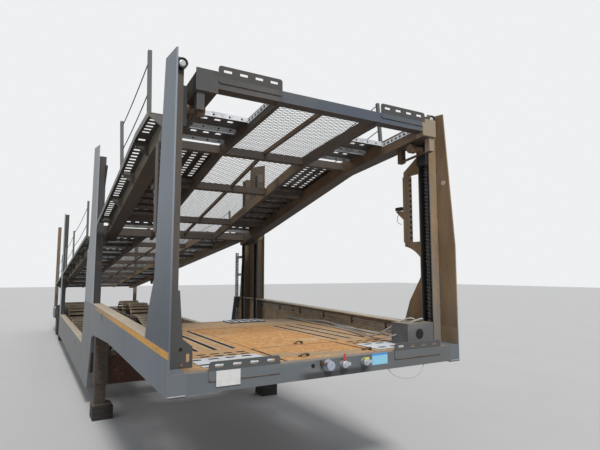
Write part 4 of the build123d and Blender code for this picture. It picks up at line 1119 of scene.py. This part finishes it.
def stringer_strips():
    """Pale punched strips beside the stringers and the left side beam, at the head of the front deck."""
    first, last, drop = 0.160, 0.625, 0.040
    middle = (first + last) / 2
    beside = (-0.4925, 0.4925, 0.9725)
    slope = slope_on(FRONT_LINE, middle)
    growth = Growth("stringer_strips", high=0.042)
    strip = growth.moved(growth.box(0.004, last - first, growth["high"]), turn=(slope, 0, 0))
    spots = [(across, middle, height_on(FRONT_LINE, middle) - drop) for across in beside]
    growth.finish(growth.copies(strip, spots), "zinc_plank", "front_deck")
    # Black discs on the strips, painted shade for their punched holes
    growth = Growth("strip_holes", radius=0.0125)
    hole = growth.drum(10, growth["radius"], 0.0052, CROSSWISE)
    distances = [first + 0.03 + index * 0.057 for index in range(8)]
    spots = [(across, distance, height_on(FRONT_LINE, distance) - drop)
             for across in beside for distance in distances]
    growth.finish(growth.copies(hole, spots), "hole_black", "front_deck")


def mid_pin_bars():
    """The pinning bar behind each mid post, with its two links."""
    bars = [((1.216, 4.970, 0.744), (1.256, 5.035, 2.170))]
    bars += [((1.224, 4.640, level), (1.248, 4.975, level + 0.042)) for level in (1.760, 2.070)]
    boxes("mid_pin_bars", bars, "zinc_dull", 0.003, paired=True)


def up_the_rail(line, distance, rise):
    """Distance and height of a place so high up a rail post, which stands square on its sloping walkway."""
    lean = slope_on(line, distance)
    return distance - rise * sin(lean), height_on(line, distance) + rise * cos(lean)


def rail_ropes(name, line, body, posts):
    """Two ropes between the rail posts of each walkway, with the little sag of a fixed line."""
    routes = []
    for across in (-1.226, 1.226):
        for rise in (0.28, 0.57):
            for first, last in zip(posts, posts[1:]):
                start, end = ((across, *up_the_rail(line, post, rise)) for post in (first, last))
                middle = [(low + high) / 2 for low, high in zip(start, end)]
                middle[2] -= 0.035 * (last - first)
                routes.append([start, middle, end])
    tube(name, routes, 0.005, "rope", body)


def deck_welds(name, line, body, crosses):
    """Weld beads where the cross beams meet the stringers and the side beams."""
    beads = []
    for cross in crosses:
        top = height_on(line, cross) - 0.02
        beads += [[(across, cross + edge, top - drop) for drop in (0, 0.035, 0.068)]
                  for across in (-0.492, -0.448, 0.448, 0.492, -0.973, 0.973) for edge in (-0.031, 0.031)]
    tube(name, beads, 0.003, "leg_rust", body)


def rear_lamp_parts():
    """Amber and white fields, and the dividing ribs, of the rear lamps."""
    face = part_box("rear_lamps")[1].y - FRONT
    low, high = 0.488, 0.592
    for name, finish, near, far in (("lamp_amber", "amber_lens", 1.105, 1.190),
                                    ("lamp_white", "white_lens", 0.830, 0.900)):
        boxes(name, [((near, face - 0.004, low), (far, face + 0.003, high))], finish, 0.002, paired=True)
    ribs = [((across, face - 0.004, low - 0.002), (across + 0.006, face + 0.005, high + 0.002))
            for across in (0.903, 1.000, 1.098)]
    boxes("lamp_ribs", ribs, "cable_black", 0.001, paired=True)


def running_gear_parts():
    """U-bolts over the axles, bands of the air springs, and the brake chambers."""
    bend = ((-0.070, 0.455), (-0.070, 0.475), (0.0, 0.487), (0.070, 0.475), (0.070, 0.455))
    bolts = [[(arm + edge, axle + step, level) for step, level in bend]
             for axle in AXLES for arm in (-0.470, 0.470) for edge in (-0.030, 0.030)]
    tube("u_bolts", bolts, 0.009, "leg_rust")
    growth = Growth("bellows_bands", radius=0.101, band=0.007)
    band = growth.drum(36, growth["radius"], growth["band"])
    bands = [(0.470, axle + 0.220, level) for axle in AXLES for level in (0.4445, 0.4765)]
    growth.finish(growth.copies(band, both_sides(bands)), "tyre_rubber")
    growth = Growth("brake_chambers", radius=0.072, depth=0.130)
    can = growth.drum(28, growth["radius"], growth["depth"], LENGTHWISE)
    lid = growth.drum(28, 0.080, 0.014, LENGTHWISE)
    spots = both_sides([(0.330, axle - 0.150, 0.405) for axle in AXLES])
    growth.finish(growth.copies(growth.join([can, lid]), spots), "under_steel")


def walkway_studs():
    """Pale studs along the middle of the front walkways."""
    growth = Growth("walk_studs", radius=0.006)
    distances = [0.9 + index * 0.24 for index in range(12)]
    spots = both_sides([(1.150, distance, height_on(FRONT_LINE, distance) + 0.001) for distance in distances])
    growth.finish(growth.copies(growth.drum(8, growth["radius"], 0.005), spots), "zinc_dull", "front_deck")


expanded_mesh("front_expanded_mesh", FRONT_LINE, "front_deck", "front_mesh")
expanded_mesh("rear_expanded_mesh", REAR_LINE, "rear_deck", "rear_mesh")
spindle_threads()
for wheel_number in (1, 2):
    for side_name, side_sign in SIDES:
        tyre_treads(wheel_number, side_name, side_sign)
        wheel_nuts(wheel_number, side_name, side_sign)
pin_holes("pin_holes", 12, (1.2335, 0.5575, 2.150), 0.0140, 0.053, 0.0865)
plank_holes()
frame_bolts()
lamp_glass()
blank_plates()
service_couplings()
beam_trim()
face_holes()
wire_loops()
side_cables()
lashing_rings()
floor_fittings()
panel_slots()
post_fittings()
mid_pin_bars()
pin_holes("mid_pin_holes", 26, (1.236, 5.0025, 0.86), 0.011, 0.048, 0.0665)
column_feet()
stringer_strips()
rail_ropes("front_rail_ropes", FRONT_LINE, "front_deck", (0.95, 2.20))
rail_ropes("rear_rail_ropes", REAR_LINE, "rear_deck", (5.36, 7.97, 10.30, 11.50, 13.40))
deck_welds("front_deck_welds", FRONT_LINE, "front_deck", (1.344, 2.235, 3.410))
deck_welds("rear_deck_welds", REAR_LINE, "rear_deck",
           (5.6475, 6.825, 8.0025, 9.180, 10.3575, 11.535, 12.7125))
rear_lamp_parts()
running_gear_parts()
walkway_studs()


def add_camera():
    """The photograph's view: a wide lens close to the front right corner, tilted up a little."""
    lens = bpy.data.cameras.new("camera")
    lens.lens = 27.94
    lens.sensor_width = 36
    eye = bpy.data.objects.new("camera", lens)
    eye.location = place(-2.038, -2.920, 1.803)
    eye.rotation_euler = (radians(95.92), 0, radians(-30.12))
    scene.collection.objects.link(eye)
    scene.camera = eye


def add_sun():
    """Soft daylight from above and the front right."""
    lamp = bpy.data.lights.new("sun", "SUN")
    lamp.energy = 2.4
    lamp.angle = radians(12)
    holder = bpy.data.objects.new("sun", lamp)
    holder.location = (0, 0, 10)
    holder.rotation_euler = (radians(38), radians(-22), radians(20))
    scene.collection.objects.link(holder)


def add_floor():
    """A pale floor that keeps the trailer's shadow."""
    reach = 60
    ground = bpy.data.meshes.new("floor")
    ground.from_pydata([(-reach, -reach, 0), (reach, -reach, 0), (reach, reach, 0), (-reach, reach, 0)],
                       [], [(0, 1, 2, 3)])
    floor = bpy.data.objects.new("floor", ground)
    scene.collection.objects.link(floor)
    made = Surface("floor")
    made.colour = colour_mix(made.noise(0.8, 3), (0.52, 0.51, 0.50), (0.56, 0.55, 0.54))
    ground.materials.append(made.finish(0.9))


def add_surround():
    """A sky that lights the trailer, and a pale surround where it is seen or mirrored."""
    world = bpy.data.worlds.new("studio")
    scene.world = world
    world.use_nodes = True
    tree = world.node_tree
    sky = tree.nodes["Background"]
    sky.inputs["Color"].default_value = (0.80, 0.84, 0.90, 1)
    sky.inputs["Strength"].default_value = 0.55
    pale = Socket(tree).node("ShaderNodeBackground", {"Color": (0.86, 0.87, 0.88, 1)})
    seen = sum(pale.node("ShaderNodeLightPath", output=ray)
               for ray in ("Is Camera Ray", "Is Glossy Ray", "Is Transmission Ray")).at_most(1)
    blend = pale.node("ShaderNodeMixShader", {0: seen, 1: Socket(tree, sky.outputs[0]), 2: pale})
    tree.links.new(blend.link, tree.nodes["World Output"].inputs["Surface"])


add_camera()
add_floor()
add_surround()
add_sun()
scene.view_settings.view_transform = "Standard"
